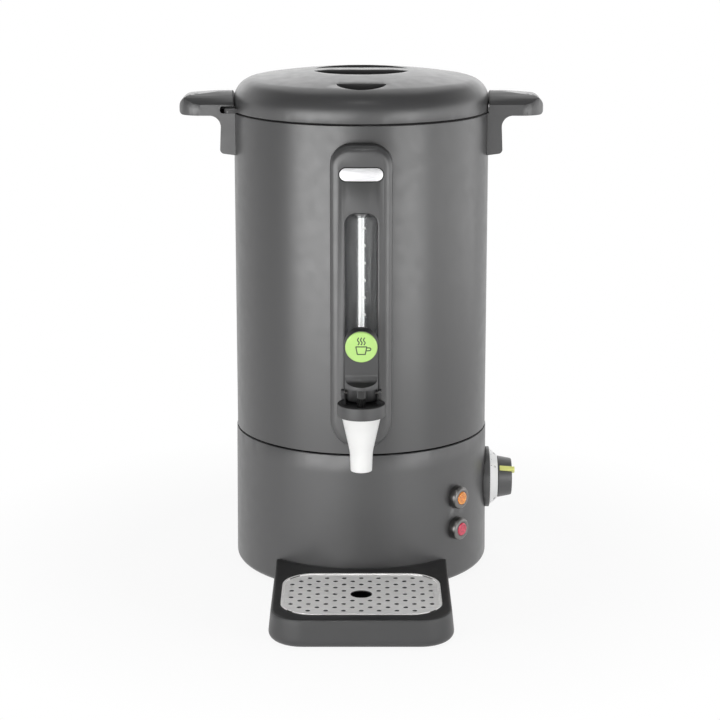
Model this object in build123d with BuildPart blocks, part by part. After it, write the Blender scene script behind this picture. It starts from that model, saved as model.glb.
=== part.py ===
from build123d import *
import os
from math import cos, radians, sin, sqrt

os.makedirs("parts", exist_ok=True)

# A hot drink dispenser: a round water boiler with a push tap, a sight gauge and a drip tray.
# Millimetres, +Z up, the tap faces -Y, and the origin is on the table under the tank's axis.

# Fits
overrun = 2.0  # how far a cutter runs past the faces that it opens
seat_gap = 0.1  # between pieces that are slipped together and stay
running_gap = 0.3  # between pieces that move past each other
shaft_gap = 0.06  # around shafts and pins in their bores

# Base housing
foot_height = 3.0
base_height = 126.6
base_proud = 0.6  # the base's upper edge outside the tank
base_flare = 1.0  # and its lower edge outside that
base_wall = 2.2
base_edge_round = 6.0
base_flange = 14.0
shadow_gap = 1.6  # dark line between the base and the tank
shoulder_inset = 1.5
spigot_height = 4.0
shelf_width = 14.0
shelf_thickness = 2.4

# Tank
tank_radius = 115.0
tank_wall = 1.2
tank_height = 290.0
tank_floor_clear = 2.6  # between the base's spigot and the tank's floor
mouth_flange = 5.8
rim_round = 0.8
stud_radius = 2.5
stud_tail = 3.0
stud_count = 4
stud_start_angle = 45.0
nut_height = 4.0
nut_radius = 5.0

# Heater, cut-out and wiring block
heater_clear = 15.4  # from the shelf's edge to the heating plate
heater_thickness = 5.0
element_inset = 22.0  # from the heating plate's edge to the element's middle line
element_tube_radius = 3.6
element_arc = 318.0
element_start_angle = 111.0
element_pin_radius = 1.6
element_pin_length = 16.0
cutout_radius = 8.0
cutout_height = 7.0
cutout_flange_radius = 12.0
cutout_flange_thickness = 1.2
cutout_offset = 24.0
cutout_tab_width = 6.3
cutout_tab_thickness = 0.8
cutout_tab_length = 8.0
cutout_tab_spread = 8.0
terminal_length = 42.0
terminal_width = 18.0
terminal_height = 16.0
terminal_offset = 55.0
terminal_screw_radius = 2.2
terminal_screw_depth = 5.0
terminal_ways = 3

# Base plate and feet
plate_thickness = 1.5
plate_flange_lap = 7.4
vent_slot_length = 24.0
vent_slot_width = 4.0
vent_slot_count = 12
vent_circle_radius = 52.0
foot_radius = 11.0
foot_edge_round = 1.0
foot_inset = 20.6  # from the base's flange to the feet's middles
foot_count = 4
foot_stem_radius = 3.0
foot_stem_length = 4.0
base_screw_count = 4
base_screw_radius = 1.6
base_screw_head_radius = 3.2
base_screw_head_height = 1.4
base_screw_length = 5.0

# Lid
lid_gap = 1.4  # dark line between the tank and the lid
lid_height = 36.4
lid_crown = 11.0
lid_shoulder_round = 20.0
lid_wall = 3.0
lid_rim_width = 17.0
lid_rim_height = 5.0
well_radius = 43.5
well_depth = 24.0
well_floor = 2.6
well_wall = 2.5
grip_width = 20.5
grip_thickness = 9.0
grip_drop = 0.5
grip_round = 2.0
scoop_back = 81.0
scoop_front = 101.7
scoop_width = 43.0
scoop_depth = 14.0
scoop_wall = 2.4
vent_hole_radius = 1.5
vent_hole_pitch = 6.5
vent_hole_count = 5
lug_reach = 10.4
lug_height = 3.2
lug_width = 10.0
lug_round = 1.5
lug_rest_angle = 15.5  # turn from the handle to the lug while the lid is unlocked
seal_width = 2.6
seal_inset = 4.0
seal_groove_depth = 1.4
liner_wall = 1.0
liner_depth = 9.2
liner_play = 0.8
liner_corner = 5.0
lid_screw_count = 6
lid_screw_radius = 1.5
lid_screw_head_radius = 3.0
lid_screw_head_height = 1.2
lid_screw_length = 3.0

# Side handles
handle_reach = 38.7  # the grip's end past the bracket
handle_half_width = 23.5
handle_under = 2.6  # the grip's underside lies this far below the tank's mouth
handle_side_height = 9.7
handle_crown = 10.6
handle_end_round = 20.0
handle_tip_round = 12.0
handle_tip_under = 4.0
handle_tip_drop = 4.0
handle_bracket_depth = 10.3
handle_bracket_flare = 1.4
handle_bracket_drop = 36.4  # the bracket's lower end below the tank's mouth
handle_bracket_slant = 3.0
handle_foot_round = 4.0
handle_bend_round = 10.0
handle_lid_gap = 1.4
handle_groove_under = 0.5
notch_reach = 11.4
notch_below = 0.5
notch_height = 6.3
notch_past_centre = 5.5
notch_round = 2.5
handle_screw_radius = 2.0
handle_screw_head_radius = 4.5
handle_screw_head_height = 2.4
handle_screw_grip = 7.0
handle_screw_pitch = 16.0
handle_screw_above = 9.0

# Front panel with its gauge channel and badge
panel_rise = 9.1  # the panel's lower end above the base's rim
panel_top_drop = 15.0  # the panel's upper end below the tank's mouth
panel_width = 53.6
panel_proud = 14.0
panel_top_round = 18.0
panel_edge_round = 6.5
panel_bottom_share = 0.98  # share of half the width that rounds the lower end
channel_width = 28.2
channel_floor = 1.0
channel_top_drop = 73.5
channel_rise = 26.8
channel_corner_round = 9.5
channel_floor_round = 9.0
channel_edge_round = 1.2
badge_width = 37.0
badge_height = 11.0
badge_thickness = 1.2
badge_recess = 0.9
badge_gap = 0.5  # dark line round the badge
badge_drop = 39.9

# Sight gauge
gauge_radius = 6.0
gauge_wall = 1.5
gauge_set_back = 0.4  # the tube's front behind the panel's front
gauge_cap_height = 1.6
gauge_cap_radius = 6.3
gauge_cap_plug = 2.0
gauge_seat_rise = 4.0  # the tube's lower end above the tap's dished floor
gauge_seat_lip = 1.2
gauge_nipple_height = 10.0
gauge_nipple_bore = 2.0
gauge_seal_wall = 0.8
strip_width = 4.7
strip_thickness = 0.8
tick_length = 1.3
tick_height = 0.9
tick_pitch = 15.14
tick_count = 9
tick_top_drop = 12.8

# Tap
tap_stand_off = 31.0  # the valve's axis in front of the panel
shank_rise = 44.8  # the shank's axis above the tank's lower edge
shank_radius = 8.5
shank_bore = 5.0
shank_length = 18.0
shank_nut_radius = 14.0
shank_nut_height = 6.0
gasket_radius = 12.5
gasket_thickness = 2.5
block_width = 26.0
block_drop = 10.0
block_back_round = 9.4
cup_radius = 16.6
cup_height = 6.0
cup_roof = 2.5
valve_tube_wall = 1.6
valve_tube_drop = 16.0
seat_thickness = 2.0
seat_hole_radius = 6.0
feed_width = 12.0
feed_height = 2.3
feed_well = 8.0
feed_well_front = 1.5
neck_width = 18.0
collar_radius = 20.6
collar_rim = 3.8  # the collar's rim above its dished floor
collar_lip = 1.2
collar_lip_width = 5.6
collar_edge_round = 1.0
collar_notch_width = 30.0
collar_notch_back = 10.0
nozzle_radius = 16.9
nozzle_waist_radius = 9.9
nozzle_waist_drop = 31.5
nozzle_mouth_radius = 9.2
nozzle_length = 48.6
nozzle_wall = 2.0
nozzle_waist_round = 30.0

# Tap lever and valve
lever_width = 28.8
lever_lean = 8.0
lever_thickness = 11.0
lever_head_rise = 45.0  # the button's centre above the pivot
lever_foot_rise = 8.0
lever_edge_round = 1.5
lever_set_forward = 14.5  # the paddle's front at the toe, in front of the pivot
toe_front = 26.0  # the toe's front, in front of the pivot
toe_height_back = 15.0
toe_height_front = 11.0
toe_bend_round = 6.0
leg_front = 8.0  # the leg's front, in front of the pivot
leg_bottom = 6.5
lever_arm = 18.0  # from the pivot to the valve's axis
pivot_rise = 8.0  # the pivot above the dished floor
pivot_radius = 1.5
pivot_end = 0.4
ear_thickness = 2.5
ear_radius = 3.4
ear_play = 0.4
button_radius = 13.75
button_thickness = 3.2
button_recess = 1.4
button_dome = 1.2
stem_radius = 3.8
stem_neck_radius = 2.4
stem_shoulder_gap = 1.2
cross_pin_radius = 0.9
cross_pin_length = 12.0
cross_pin_rise = 2.3  # the cross pin above the toe's underside
pin_slot_play = 0.2
pin_slot_travel = 2.6
plug_radius = 7.6
plug_height = 5.0
plug_socket_radius = 2.6
plug_socket_depth = 3.0
spring_radius = 6.0
spring_wire_radius = 0.6
spring_turns = 4

# Thermostat and its knob
dial_height = 76.0
thermostat_width = 34.0
thermostat_depth = 26.0
thermostat_edge_round = 2.0
bush_radius = 5.0
bush_end = 4.5  # the bush's end outside the wall
shaft_radius = 3.0
bush_nut_radius = 8.0
bush_nut_height = 2.8
bezel_radius = 28.2
bezel_proud = 3.4
bezel_bore = 12.0
scale_radius = 26.6
scale_top_radius = 20.4
scale_proud = 11.0
scale_recess = 1.5
knob_radius = 19.5
knob_end_radius = 17.0
knob_length = 13.2
knob_edge_round = 1.5
knob_socket_depth = 9.0
pointer_width = 4.7
pointer_past_end = 2.4
pointer_proud = 0.5
pointer_depth = 4.0
pointer_angle = 40.0  # above the front

# Signal lamps
lamp_angle = 47.5  # from the front towards the right
heating_lamp_height = 80.7
power_lamp_height = 51.5
lamp_radius = 10.2
lamp_proud = 7.4
lamp_edge_round = 2.8
lens_radius = 6.0
lens_proud = 0.8
lens_round = 1.6
lens_depth = 4.0
lamp_body_radius = 5.2
lamp_body_length = 24.0
lamp_nut_radius = 8.6
lamp_nut_height = 3.0

# Cord gland at the back of the base
gland_height = 26.0
gland_radius = 8.0
gland_bore = 4.0
gland_flange_radius = 11.0
gland_proud = 4.0
gland_inside = 12.0
gland_edge_round = 1.2

# Drip tray and grille
tray_gap = 0.6  # between the base and the tray's hollow back
tray_reach = 130.4  # the tray's front in front of the base
tray_half_width = 79.0
tray_tip = 1.43  # flat end of the tray's horns
tray_height = 26.0
tray_pad_height = 1.5
tray_draft = 6.0
tray_corner_round = 30.0
tray_back_round = 4.0
tray_edge_round = 6.0
tray_top_round = 1.2
tray_floor = 2.2
tray_pad_radius = 6.0
tray_pad_inset = 22.0
grille_half_width = 68.5
grille_half_depth = 50.5
tray_front_rim = 16.0
grille_corner_round = 28.0
grille_thickness = 1.2
grille_rim_width = 2.2
grille_rim_height = 0.9
grille_play = 0.4
grille_ledge = 5.0
grille_sink = 0.4
drain_radius = 1.9
drain_pitch = 15.0
drain_row = 8.0
drain_rows_each_side = 5
drain_margin = 8.0
drip_hole_radius = 9.25
drip_hole_margin = 5.0

# Levels and radii that follow from the values above
base_top_radius = tank_radius + base_proud
base_bottom_radius = base_top_radius + base_flare
base_bottom = foot_height
base_top = base_bottom + base_height
tank_bottom = base_top + shadow_gap
tank_top = tank_bottom + tank_height
tank_inner = tank_radius - tank_wall
mouth_radius = tank_inner - mouth_flange
spigot_radius = tank_inner - 2 * seat_gap
spigot_inner = spigot_radius - base_wall
shoulder_radius = base_top_radius - shoulder_inset
shelf_inner = spigot_inner - shelf_width
shelf_bottom = base_top - shelf_thickness
floor_top = tank_bottom + spigot_height + tank_floor_clear + tank_wall
floor_bottom = floor_top - tank_wall
stud_circle = (shelf_inner + spigot_inner) / 2
heater_radius = shelf_inner - heater_clear
element_ring_radius = heater_radius - element_inset
flange_inner = base_bottom_radius - base_flange
foot_circle_radius = flange_inner - foot_inset
flange_top = base_bottom + base_wall
lid_rim = tank_top + lid_gap
lid_top = lid_rim + lid_height
panel_radius = tank_radius + panel_proud
tap_reach = panel_radius + tap_stand_off
pivot_reach = tap_reach - lever_arm
panel_bottom = base_top + panel_rise
panel_top = tank_top - panel_top_drop
channel_radius = tank_radius + channel_floor
channel_top = tank_top - channel_top_drop
channel_bottom = base_top + channel_rise
badge_height_centre = tank_top - badge_drop
gauge_reach = panel_radius - gauge_set_back - gauge_radius
shank_height = tank_bottom + shank_rise
cup_top = shank_height + block_drop
cup_bottom = cup_top - cup_height
collar_bottom = cup_bottom - collar_lip - seat_gap
collar_top = cup_top + collar_rim
nozzle_bottom = collar_bottom - nozzle_length
pivot_height = cup_top + pivot_rise
tray_front = base_bottom_radius + tray_reach
tray_back = sqrt((base_bottom_radius + tray_gap) ** 2 - tray_half_width**2) + tray_tip
grille_centre = tray_front - tray_front_rim - grille_half_depth


def base_radius_at(height):
    """Outside radius of the slightly tapered base housing at a height."""
    share = (height - base_bottom) / base_height
    return base_bottom_radius + (base_top_radius - base_bottom_radius) * share


def outline(sketch, points, rounds=()):
    """Draw a closed outline in the sketch and round the corners that are named with a radius."""
    Polygon(*points, align=None)
    for corner, radius in rounds:
        fillet(sketch.vertices().sort_by_distance(corner)[0], radius=radius)


def radial_plane(angle, radius, height):
    """Plane that faces outwards at an angle counted from the front towards the right."""
    turn = radians(angle)
    return Plane(
        origin=(radius * sin(turn), -radius * cos(turn), height),
        x_dir=(cos(turn), sin(turn), 0),
        z_dir=(sin(turn), -cos(turn), 0),
    )


def cut_base_shape():
    """Take the base housing's outer form away, so that a piece sits on its round wall."""
    with BuildSketch(Plane.XZ) as section:
        outline(
            section,
            [
                (0, base_bottom),
                (base_bottom_radius + seat_gap, base_bottom),
                (base_top_radius + seat_gap, base_top),
                (0, base_top),
            ],
        )
    revolve(section.sketch, axis=Axis.Z, mode=Mode.SUBTRACT)


def keep_ring(inner, outer, low, high, mode=Mode.INTERSECT):
    """Keep, or cut, what lies between two radii around the tank's axis."""
    with BuildSketch(Plane.XY.offset(low)) as ring:
        Circle(outer)
        if inner > 0:
            Circle(inner, mode=Mode.SUBTRACT)
    extrude(ring.sketch, amount=high - low, mode=mode)


def finish(builder, name):
    """Label a finished piece and write it."""
    builder.part.label = name
    export_step(builder.part, f"parts/{name}.step")


# Base housing: a moulded drum with a shelf and a spigot that carry the tank
gland_wall_radius = base_radius_at(gland_height)
dial_wall_radius = base_radius_at(dial_height)
lamp_heights = (heating_lamp_height, power_lamp_height)

with BuildPart() as base_housing:
    with BuildSketch(Plane.XZ) as base_section:
        outline(
            base_section,
            [
                (base_bottom_radius, base_bottom),
                (base_top_radius, base_top),
                (shoulder_radius, base_top),
                (shoulder_radius, tank_bottom),
                (spigot_radius, tank_bottom),
                (spigot_radius, tank_bottom + spigot_height),
                (spigot_inner, tank_bottom + spigot_height),
                (spigot_inner, base_top),
                (shelf_inner, base_top),
                (shelf_inner, shelf_bottom),
                (base_top_radius - base_wall, shelf_bottom),
                (base_bottom_radius - base_wall, flange_top),
                (flange_inner, flange_top),
                (flange_inner, base_bottom),
            ],
            [
                ((base_bottom_radius, base_bottom), base_edge_round),
                ((base_bottom_radius - base_wall, flange_top), base_edge_round - base_wall),
            ],
        )
    revolve(axis=Axis.Z)
    with BuildSketch(Plane.XY.offset(shelf_bottom)):
        with PolarLocations(stud_circle, stud_count, start_angle=stud_start_angle):
            Circle(stud_radius + running_gap)
    extrude(amount=shelf_thickness, mode=Mode.SUBTRACT)
    for height in lamp_heights:
        with BuildSketch(radial_plane(lamp_angle, 0, height)):
            Circle(lamp_body_radius + seat_gap)
        extrude(amount=base_bottom_radius + overrun, mode=Mode.SUBTRACT)
    with BuildSketch(radial_plane(90, 0, dial_height)):
        Circle(bush_radius + seat_gap)
    extrude(amount=base_bottom_radius + overrun, mode=Mode.SUBTRACT)
    with BuildSketch(radial_plane(180, 0, gland_height)):
        Circle(gland_radius + seat_gap)
    extrude(amount=base_bottom_radius + overrun, mode=Mode.SUBTRACT)
    with BuildSketch(Plane.XY.offset(base_bottom)):
        with PolarLocations(flange_inner + plate_flange_lap / 2, base_screw_count):
            Circle(base_screw_radius + seat_gap)
    extrude(amount=base_wall, mode=Mode.SUBTRACT)
finish(base_housing, "base_housing")

# Base plate: a vented disc on the housing's lower flange
plate_top = flange_top + plate_thickness
with BuildPart() as base_plate:
    with BuildSketch(Plane.XY.offset(flange_top)):
        Circle(flange_inner + plate_flange_lap)
        with PolarLocations(vent_circle_radius, vent_slot_count):
            SlotOverall(vent_slot_length, vent_slot_width, mode=Mode.SUBTRACT)
        with PolarLocations(foot_circle_radius, foot_count, start_angle=stud_start_angle):
            Circle(foot_stem_radius + seat_gap, mode=Mode.SUBTRACT)
        Circle(foot_stem_radius + seat_gap, mode=Mode.SUBTRACT)
        with PolarLocations(flange_inner + plate_flange_lap / 2, base_screw_count):
            Circle(base_screw_radius + seat_gap, mode=Mode.SUBTRACT)
    extrude(amount=plate_thickness)
finish(base_plate, "base_plate")

# Screws through the flange into the base plate
with BuildPart() as base_screws:
    with BuildSketch(Plane.XY.offset(base_bottom)):
        with PolarLocations(flange_inner + plate_flange_lap / 2, base_screw_count):
            Circle(base_screw_radius)
    extrude(amount=base_screw_length)
    with BuildSketch(Plane.XY.offset(base_bottom - base_screw_head_height)):
        with PolarLocations(flange_inner + plate_flange_lap / 2, base_screw_count):
            Circle(base_screw_head_radius)
    extrude(amount=base_screw_head_height)
finish(base_screws, "base_screws")

# Rubber feet with stems that are pressed through the base plate: four outside and one in the middle
with BuildPart() as base_feet:
    with BuildSketch(Plane.XY):
        with PolarLocations(foot_circle_radius, foot_count, start_angle=stud_start_angle):
            Circle(foot_radius)
        Circle(foot_radius)
    extrude(amount=flange_top)
    fillet(base_feet.edges().group_by(Axis.Z)[0], radius=foot_edge_round)
    with BuildSketch(Plane.XY.offset(flange_top)):
        with PolarLocations(foot_circle_radius, foot_count, start_angle=stud_start_angle):
            Circle(foot_stem_radius)
        Circle(foot_stem_radius)
    extrude(amount=foot_stem_length)
finish(base_feet, "base_feet")

# Tank: a rolled and painted steel shell, with a mouth ring and a floor welded into it
with BuildPart() as tank:
    with BuildSketch(Plane.XZ) as tank_section:
        outline(
            tank_section,
            [
                (tank_radius, tank_bottom),
                (tank_radius, tank_top),
                (tank_inner, tank_top),
                (tank_inner, tank_bottom),
            ],
            [((tank_radius, tank_top), rim_round)],
        )
    revolve(axis=Axis.Z)
    with BuildSketch(Plane.XZ):
        with Locations((0, shank_height)):
            Circle(shank_radius + seat_gap)
    extrude(amount=tank_radius + overrun, mode=Mode.SUBTRACT)
    with BuildSketch(Plane.YZ):
        for rise in (0, handle_screw_pitch):
            with Locations((0, tank_top - handle_bracket_drop + handle_screw_above + rise)):
                Circle(handle_screw_radius + seat_gap)
    extrude(amount=tank_radius + overrun, both=True, mode=Mode.SUBTRACT)
finish(tank, "tank")

with BuildPart() as tank_rim:
    keep_ring(mouth_radius, tank_inner - seat_gap, tank_top - tank_wall, tank_top, Mode.ADD)
finish(tank_rim, "tank_rim")

with BuildPart() as tank_floor:
    with BuildSketch(Plane.XY.offset(floor_bottom)):
        Circle(tank_inner - seat_gap)
    extrude(amount=tank_wall)
    with BuildSketch(Plane.XY.offset(floor_bottom)):
        with PolarLocations(stud_circle, stud_count, start_angle=stud_start_angle):
            Circle(stud_radius)
    extrude(amount=-(floor_bottom - shelf_bottom + nut_height + stud_tail))
finish(tank_floor, "tank_floor")

# Nuts that clamp the tank's studs under the base's shelf
with BuildPart() as tank_nuts:
    with BuildSketch(Plane.XY.offset(shelf_bottom)):
        with PolarLocations(stud_circle, stud_count, start_angle=stud_start_angle):
            RegularPolygon(nut_radius, 6)
            Circle(stud_radius + seat_gap, mode=Mode.SUBTRACT)
    extrude(amount=-nut_height)
finish(tank_nuts, "tank_nuts")

# Heating plate under the tank's floor, with the tubular element below it
heater_bottom = floor_bottom - heater_thickness
with BuildPart() as heating_plate:
    with BuildSketch(Plane.XY.offset(heater_bottom)):
        Circle(heater_radius)
    extrude(amount=heater_thickness)
finish(heating_plate, "heating_plate")

element_height = heater_bottom - element_tube_radius
element_turn = radians(element_start_angle)
element_plane = Plane(
    origin=(0, 0, 0),
    x_dir=(cos(element_turn), sin(element_turn), 0),
    z_dir=(sin(element_turn), -cos(element_turn), 0),
)
with BuildPart() as heating_element:
    with BuildSketch(element_plane):
        with Locations((element_ring_radius, element_height)):
            Circle(element_tube_radius)
    revolve(axis=Axis.Z, revolution_arc=element_arc)
    with BuildSketch(Plane.XY.offset(element_height)):
        for angle in (element_start_angle, element_start_angle + element_arc):
            with PolarLocations(element_ring_radius, 1, start_angle=angle):
                Circle(element_pin_radius)
    extrude(amount=-element_pin_length)
finish(heating_element, "heating_element")

# Thermal cut-out pressed against the heating plate
with BuildPart() as thermal_cutout:
    with BuildSketch(Plane.XY.offset(heater_bottom)):
        with Locations((0, cutout_offset)):
            Circle(cutout_flange_radius)
    extrude(amount=-cutout_flange_thickness)
    with BuildSketch(Plane.XY.offset(heater_bottom)):
        with Locations((0, cutout_offset)):
            Circle(cutout_radius)
    extrude(amount=-cutout_height)
    with BuildSketch(Plane.XY.offset(heater_bottom - cutout_height)):
        with Locations((0, cutout_offset)):
            with GridLocations(cutout_tab_spread, 0, 2, 1):
                Rectangle(cutout_tab_thickness, cutout_tab_width)
    extrude(amount=-cutout_tab_length)
finish(thermal_cutout, "thermal_cutout")

# Wiring terminal block on the base plate
with BuildPart() as terminal_block:
    with BuildSketch(Plane.XY.offset(plate_top)):
        with Locations((0, terminal_offset)):
            Rectangle(terminal_length, terminal_width)
    extrude(amount=terminal_height)
    with BuildSketch(Plane.XY.offset(plate_top + terminal_height)):
        with Locations((0, terminal_offset)):
            with GridLocations(terminal_length / terminal_ways, terminal_width / 2, terminal_ways, 2):
                Circle(terminal_screw_radius)
    extrude(amount=-terminal_screw_depth, mode=Mode.SUBTRACT)
finish(terminal_block, "terminal_block")

# Cord gland: a flanged bush in the base's back wall
with BuildPart() as cord_gland:
    with BuildSketch(radial_plane(180, gland_wall_radius - gland_inside, gland_height)):
        Circle(gland_radius)
    extrude(amount=gland_inside + gland_proud)
    with BuildSketch(radial_plane(180, gland_wall_radius - base_wall / 2, gland_height)):
        Circle(gland_flange_radius)
    extrude(amount=base_wall / 2 + gland_proud)
    fillet(cord_gland.edges().group_by(Axis.Y)[-1], radius=gland_edge_round)
    cut_base_shape()
    with BuildSketch(radial_plane(180, gland_wall_radius - gland_inside, gland_height)):
        Circle(gland_radius)
    extrude(amount=gland_inside + gland_proud / 2)
    with BuildSketch(radial_plane(180, gland_wall_radius - gland_inside - overrun, gland_height)):
        Circle(gland_bore)
    extrude(amount=gland_inside + gland_proud + 2 * overrun, mode=Mode.SUBTRACT)
finish(cord_gland, "cord_gland")

# Thermostat behind the wall, its threaded bush through the wall and the nut outside
thermostat_half = thermostat_width / 2
dial_wall_inside = dial_wall_radius - base_wall
thermostat_front = sqrt(dial_wall_inside**2 - thermostat_half**2) - running_gap
with BuildPart() as thermostat_body:
    with BuildSketch(Plane.YZ.offset(thermostat_front)):
        with Locations((0, dial_height)):
            RectangleRounded(thermostat_width, thermostat_width, thermostat_edge_round)
    extrude(amount=-thermostat_depth)
    with BuildSketch(Plane.YZ.offset(thermostat_front)):
        with Locations((0, dial_height)):
            Circle(bush_radius)
    extrude(amount=dial_wall_radius - thermostat_front + bush_end)
    with BuildSketch(Plane.YZ.offset(thermostat_front)):
        with Locations((0, dial_height)):
            Circle(shaft_radius + shaft_gap)
    extrude(amount=dial_wall_radius - thermostat_front + bush_end + overrun, mode=Mode.SUBTRACT)
finish(thermostat_body, "thermostat_body")

with BuildPart() as thermostat_nut:
    with BuildSketch(Plane.YZ.offset(dial_wall_radius + seat_gap)):
        with Locations((0, dial_height)):
            RegularPolygon(bush_nut_radius, 6)
            Circle(bush_radius + seat_gap, mode=Mode.SUBTRACT)
    extrude(amount=bush_nut_height)
finish(thermostat_nut, "thermostat_nut")

# Dial: a round bezel on the wall, a sloped scale ring, and the knob with its pointer
dial_axis = Axis((0, 0, dial_height), (1, 0, 0))
bezel_front = dial_wall_radius + bezel_proud
scale_front = dial_wall_radius + scale_proud
scale_back = bezel_front - scale_recess
with BuildPart() as knob_bezel:
    with BuildSketch(Plane.XZ) as bezel_section:
        outline(
            bezel_section,
            [
                (shelf_inner, dial_height + bezel_bore),
                (shelf_inner, dial_height + bezel_radius),
                (bezel_front, dial_height + bezel_radius),
                (bezel_front, dial_height + scale_radius + seat_gap),
                (scale_back, dial_height + scale_radius + seat_gap),
                (scale_back, dial_height + bezel_bore),
            ],
        )
    revolve(axis=dial_axis)
    cut_base_shape()
finish(knob_bezel, "knob_bezel")

with BuildPart() as scale_ring:
    with BuildSketch(Plane.XZ) as scale_section:
        outline(
            scale_section,
            [
                (scale_back, dial_height + bezel_bore),
                (scale_back, dial_height + scale_radius),
                (bezel_front, dial_height + scale_radius),
                (scale_front, dial_height + scale_top_radius),
                (scale_front, dial_height + bezel_bore),
            ],
        )
    revolve(axis=dial_axis)
finish(scale_ring, "scale_ring")

knob_back = scale_front + running_gap
knob_front = knob_back + knob_length
pointer_turn = radians(pointer_angle)
pointer_plane = Plane(
    origin=(0, 0, dial_height),
    x_dir=(1, 0, 0),
    z_dir=(0, -sin(pointer_turn), -cos(pointer_turn)),
)


def pointer_bar(gap, mode):
    """The pointer along the knob's side, or the groove that takes it when a gap is given."""
    with BuildSketch(pointer_plane) as bar:
        outline(
            bar,
            [
                (knob_back + knob_edge_round - gap, knob_end_radius - pointer_depth - gap),
                (knob_back + knob_edge_round - gap, knob_radius + pointer_proud),
                (knob_front + pointer_past_end, knob_end_radius + pointer_proud),
                (knob_front + pointer_past_end, knob_end_radius - pointer_depth - gap),
            ],
        )
    extrude(bar.sketch, amount=pointer_width / 2 + gap, both=True, mode=mode)


with BuildPart() as knob:
    with BuildSketch(Plane.XZ) as knob_section:
        outline(
            knob_section,
            [
                (knob_back, dial_height),
                (knob_back, dial_height + knob_radius),
                (knob_front, dial_height + knob_end_radius),
                (knob_front, dial_height),
            ],
            [
                ((knob_back, dial_height + knob_radius), knob_edge_round / 2),
                ((knob_front, dial_height + knob_end_radius), knob_edge_round),
            ],
        )
    revolve(axis=dial_axis)
    with BuildSketch(Plane.YZ.offset(knob_back)):
        with Locations((0, dial_height)):
            Circle(shaft_radius + seat_gap)
    extrude(amount=knob_socket_depth, mode=Mode.SUBTRACT)
    pointer_bar(seat_gap, Mode.SUBTRACT)
finish(knob, "knob")

with BuildPart() as knob_pointer:
    pointer_bar(0, Mode.ADD)
finish(knob_pointer, "knob_pointer")

with BuildPart() as thermostat_shaft:
    with BuildSketch(Plane.YZ.offset(thermostat_front + running_gap)):
        with Locations((0, dial_height)):
            Circle(shaft_radius)
    extrude(amount=knob_back + knob_socket_depth - seat_gap - thermostat_front - running_gap)
finish(thermostat_shaft, "thermostat_shaft")

# Signal lamps: bright bezels, coloured lenses, and bodies that are clamped behind the wall
with BuildPart() as lamp_bezels:
    for height in lamp_heights:
        wall_radius = base_radius_at(height)
        with BuildSketch(radial_plane(lamp_angle, wall_radius - base_wall, height)):
            Circle(lamp_radius)
        extrude(amount=base_wall + lamp_proud)
    lamp_front_plane = radial_plane(lamp_angle, 0, 0)
    lamp_axis = Axis((0, 0, 0), lamp_front_plane.z_dir)
    lamp_fronts = lamp_bezels.faces().filter_by(lamp_axis).sort_by(lamp_axis)[-len(lamp_heights) :]
    fillet(lamp_fronts.edges(), radius=lamp_edge_round)
    cut_base_shape()
    for height in lamp_heights:
        wall_radius = base_radius_at(height)
        with BuildSketch(radial_plane(lamp_angle, wall_radius - base_wall, height)):
            Circle(lens_radius + seat_gap)
        extrude(amount=base_wall + lamp_proud + overrun, mode=Mode.SUBTRACT)
finish(lamp_bezels, "lamp_bezels")


def lamp_lens(height):
    """Coloured lens that stands in its bezel and rests on the lamp body."""
    wall_radius = base_radius_at(height)
    with BuildSketch(radial_plane(lamp_angle, wall_radius + lamp_proud - lens_depth, height)) as disc:
        Circle(lens_radius)
    extrude(disc.sketch, amount=lens_depth + lens_proud)


with BuildPart() as lamp_lens_heating:
    lamp_lens(heating_lamp_height)
    fillet(lamp_lens_heating.edges().sort_by(lamp_axis)[-1], radius=lens_round)
finish(lamp_lens_heating, "lamp_lens_heating")

with BuildPart() as lamp_lens_power:
    lamp_lens(power_lamp_height)
    fillet(lamp_lens_power.edges().sort_by(lamp_axis)[-1], radius=lens_round)
finish(lamp_lens_power, "lamp_lens_power")

with BuildPart() as lamp_bodies:
    for height in lamp_heights:
        wall_radius = base_radius_at(height)
        with BuildSketch(radial_plane(lamp_angle, wall_radius + lamp_proud - lens_depth, height)):
            Circle(lamp_body_radius)
        extrude(amount=-lamp_body_length)
        nut_start = sqrt((wall_radius - base_wall) ** 2 - lamp_nut_radius**2) - seat_gap
        with BuildSketch(radial_plane(lamp_angle, nut_start, height)):
            Circle(lamp_nut_radius)
        extrude(amount=-lamp_nut_height)
finish(lamp_bodies, "lamp_bodies")

# Front panel: a long rounded moulding on the tank, with the gauge channel sunk into it
panel_bottom_round = panel_width / 2 * panel_bottom_share
channel_half = channel_width / 2
panel_half = panel_width / 2
with BuildPart() as channel_cutter:
    with BuildSketch(Plane.XZ) as channel_outline:
        outline(
            channel_outline,
            [
                (-channel_half, channel_bottom),
                (channel_half, channel_bottom),
                (channel_half, channel_top),
                (-channel_half, channel_top),
            ],
            [
                ((-channel_half, channel_top), channel_corner_round),
                ((channel_half, channel_top), channel_corner_round),
                ((-channel_half, channel_bottom), channel_corner_round),
                ((channel_half, channel_bottom), channel_corner_round),
            ],
        )
    extrude(amount=panel_radius + overrun)
    keep_ring(0, channel_radius, channel_bottom - overrun, channel_top + overrun, Mode.SUBTRACT)
    fillet(channel_cutter.faces().sort_by(Axis.Y)[-1].edges(), radius=channel_floor_round)

badge_low = badge_height_centre - badge_height
badge_high = badge_height_centre + badge_height
badge_back = panel_radius - badge_recess
with BuildPart() as badge_cutter:
    with BuildSketch(Plane.XZ):
        with Locations((0, badge_height_centre)):
            SlotOverall(badge_width + 2 * badge_gap, badge_height + 2 * badge_gap)
    extrude(amount=panel_radius + overrun)
    keep_ring(0, badge_back, badge_low, badge_high, Mode.SUBTRACT)

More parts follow.
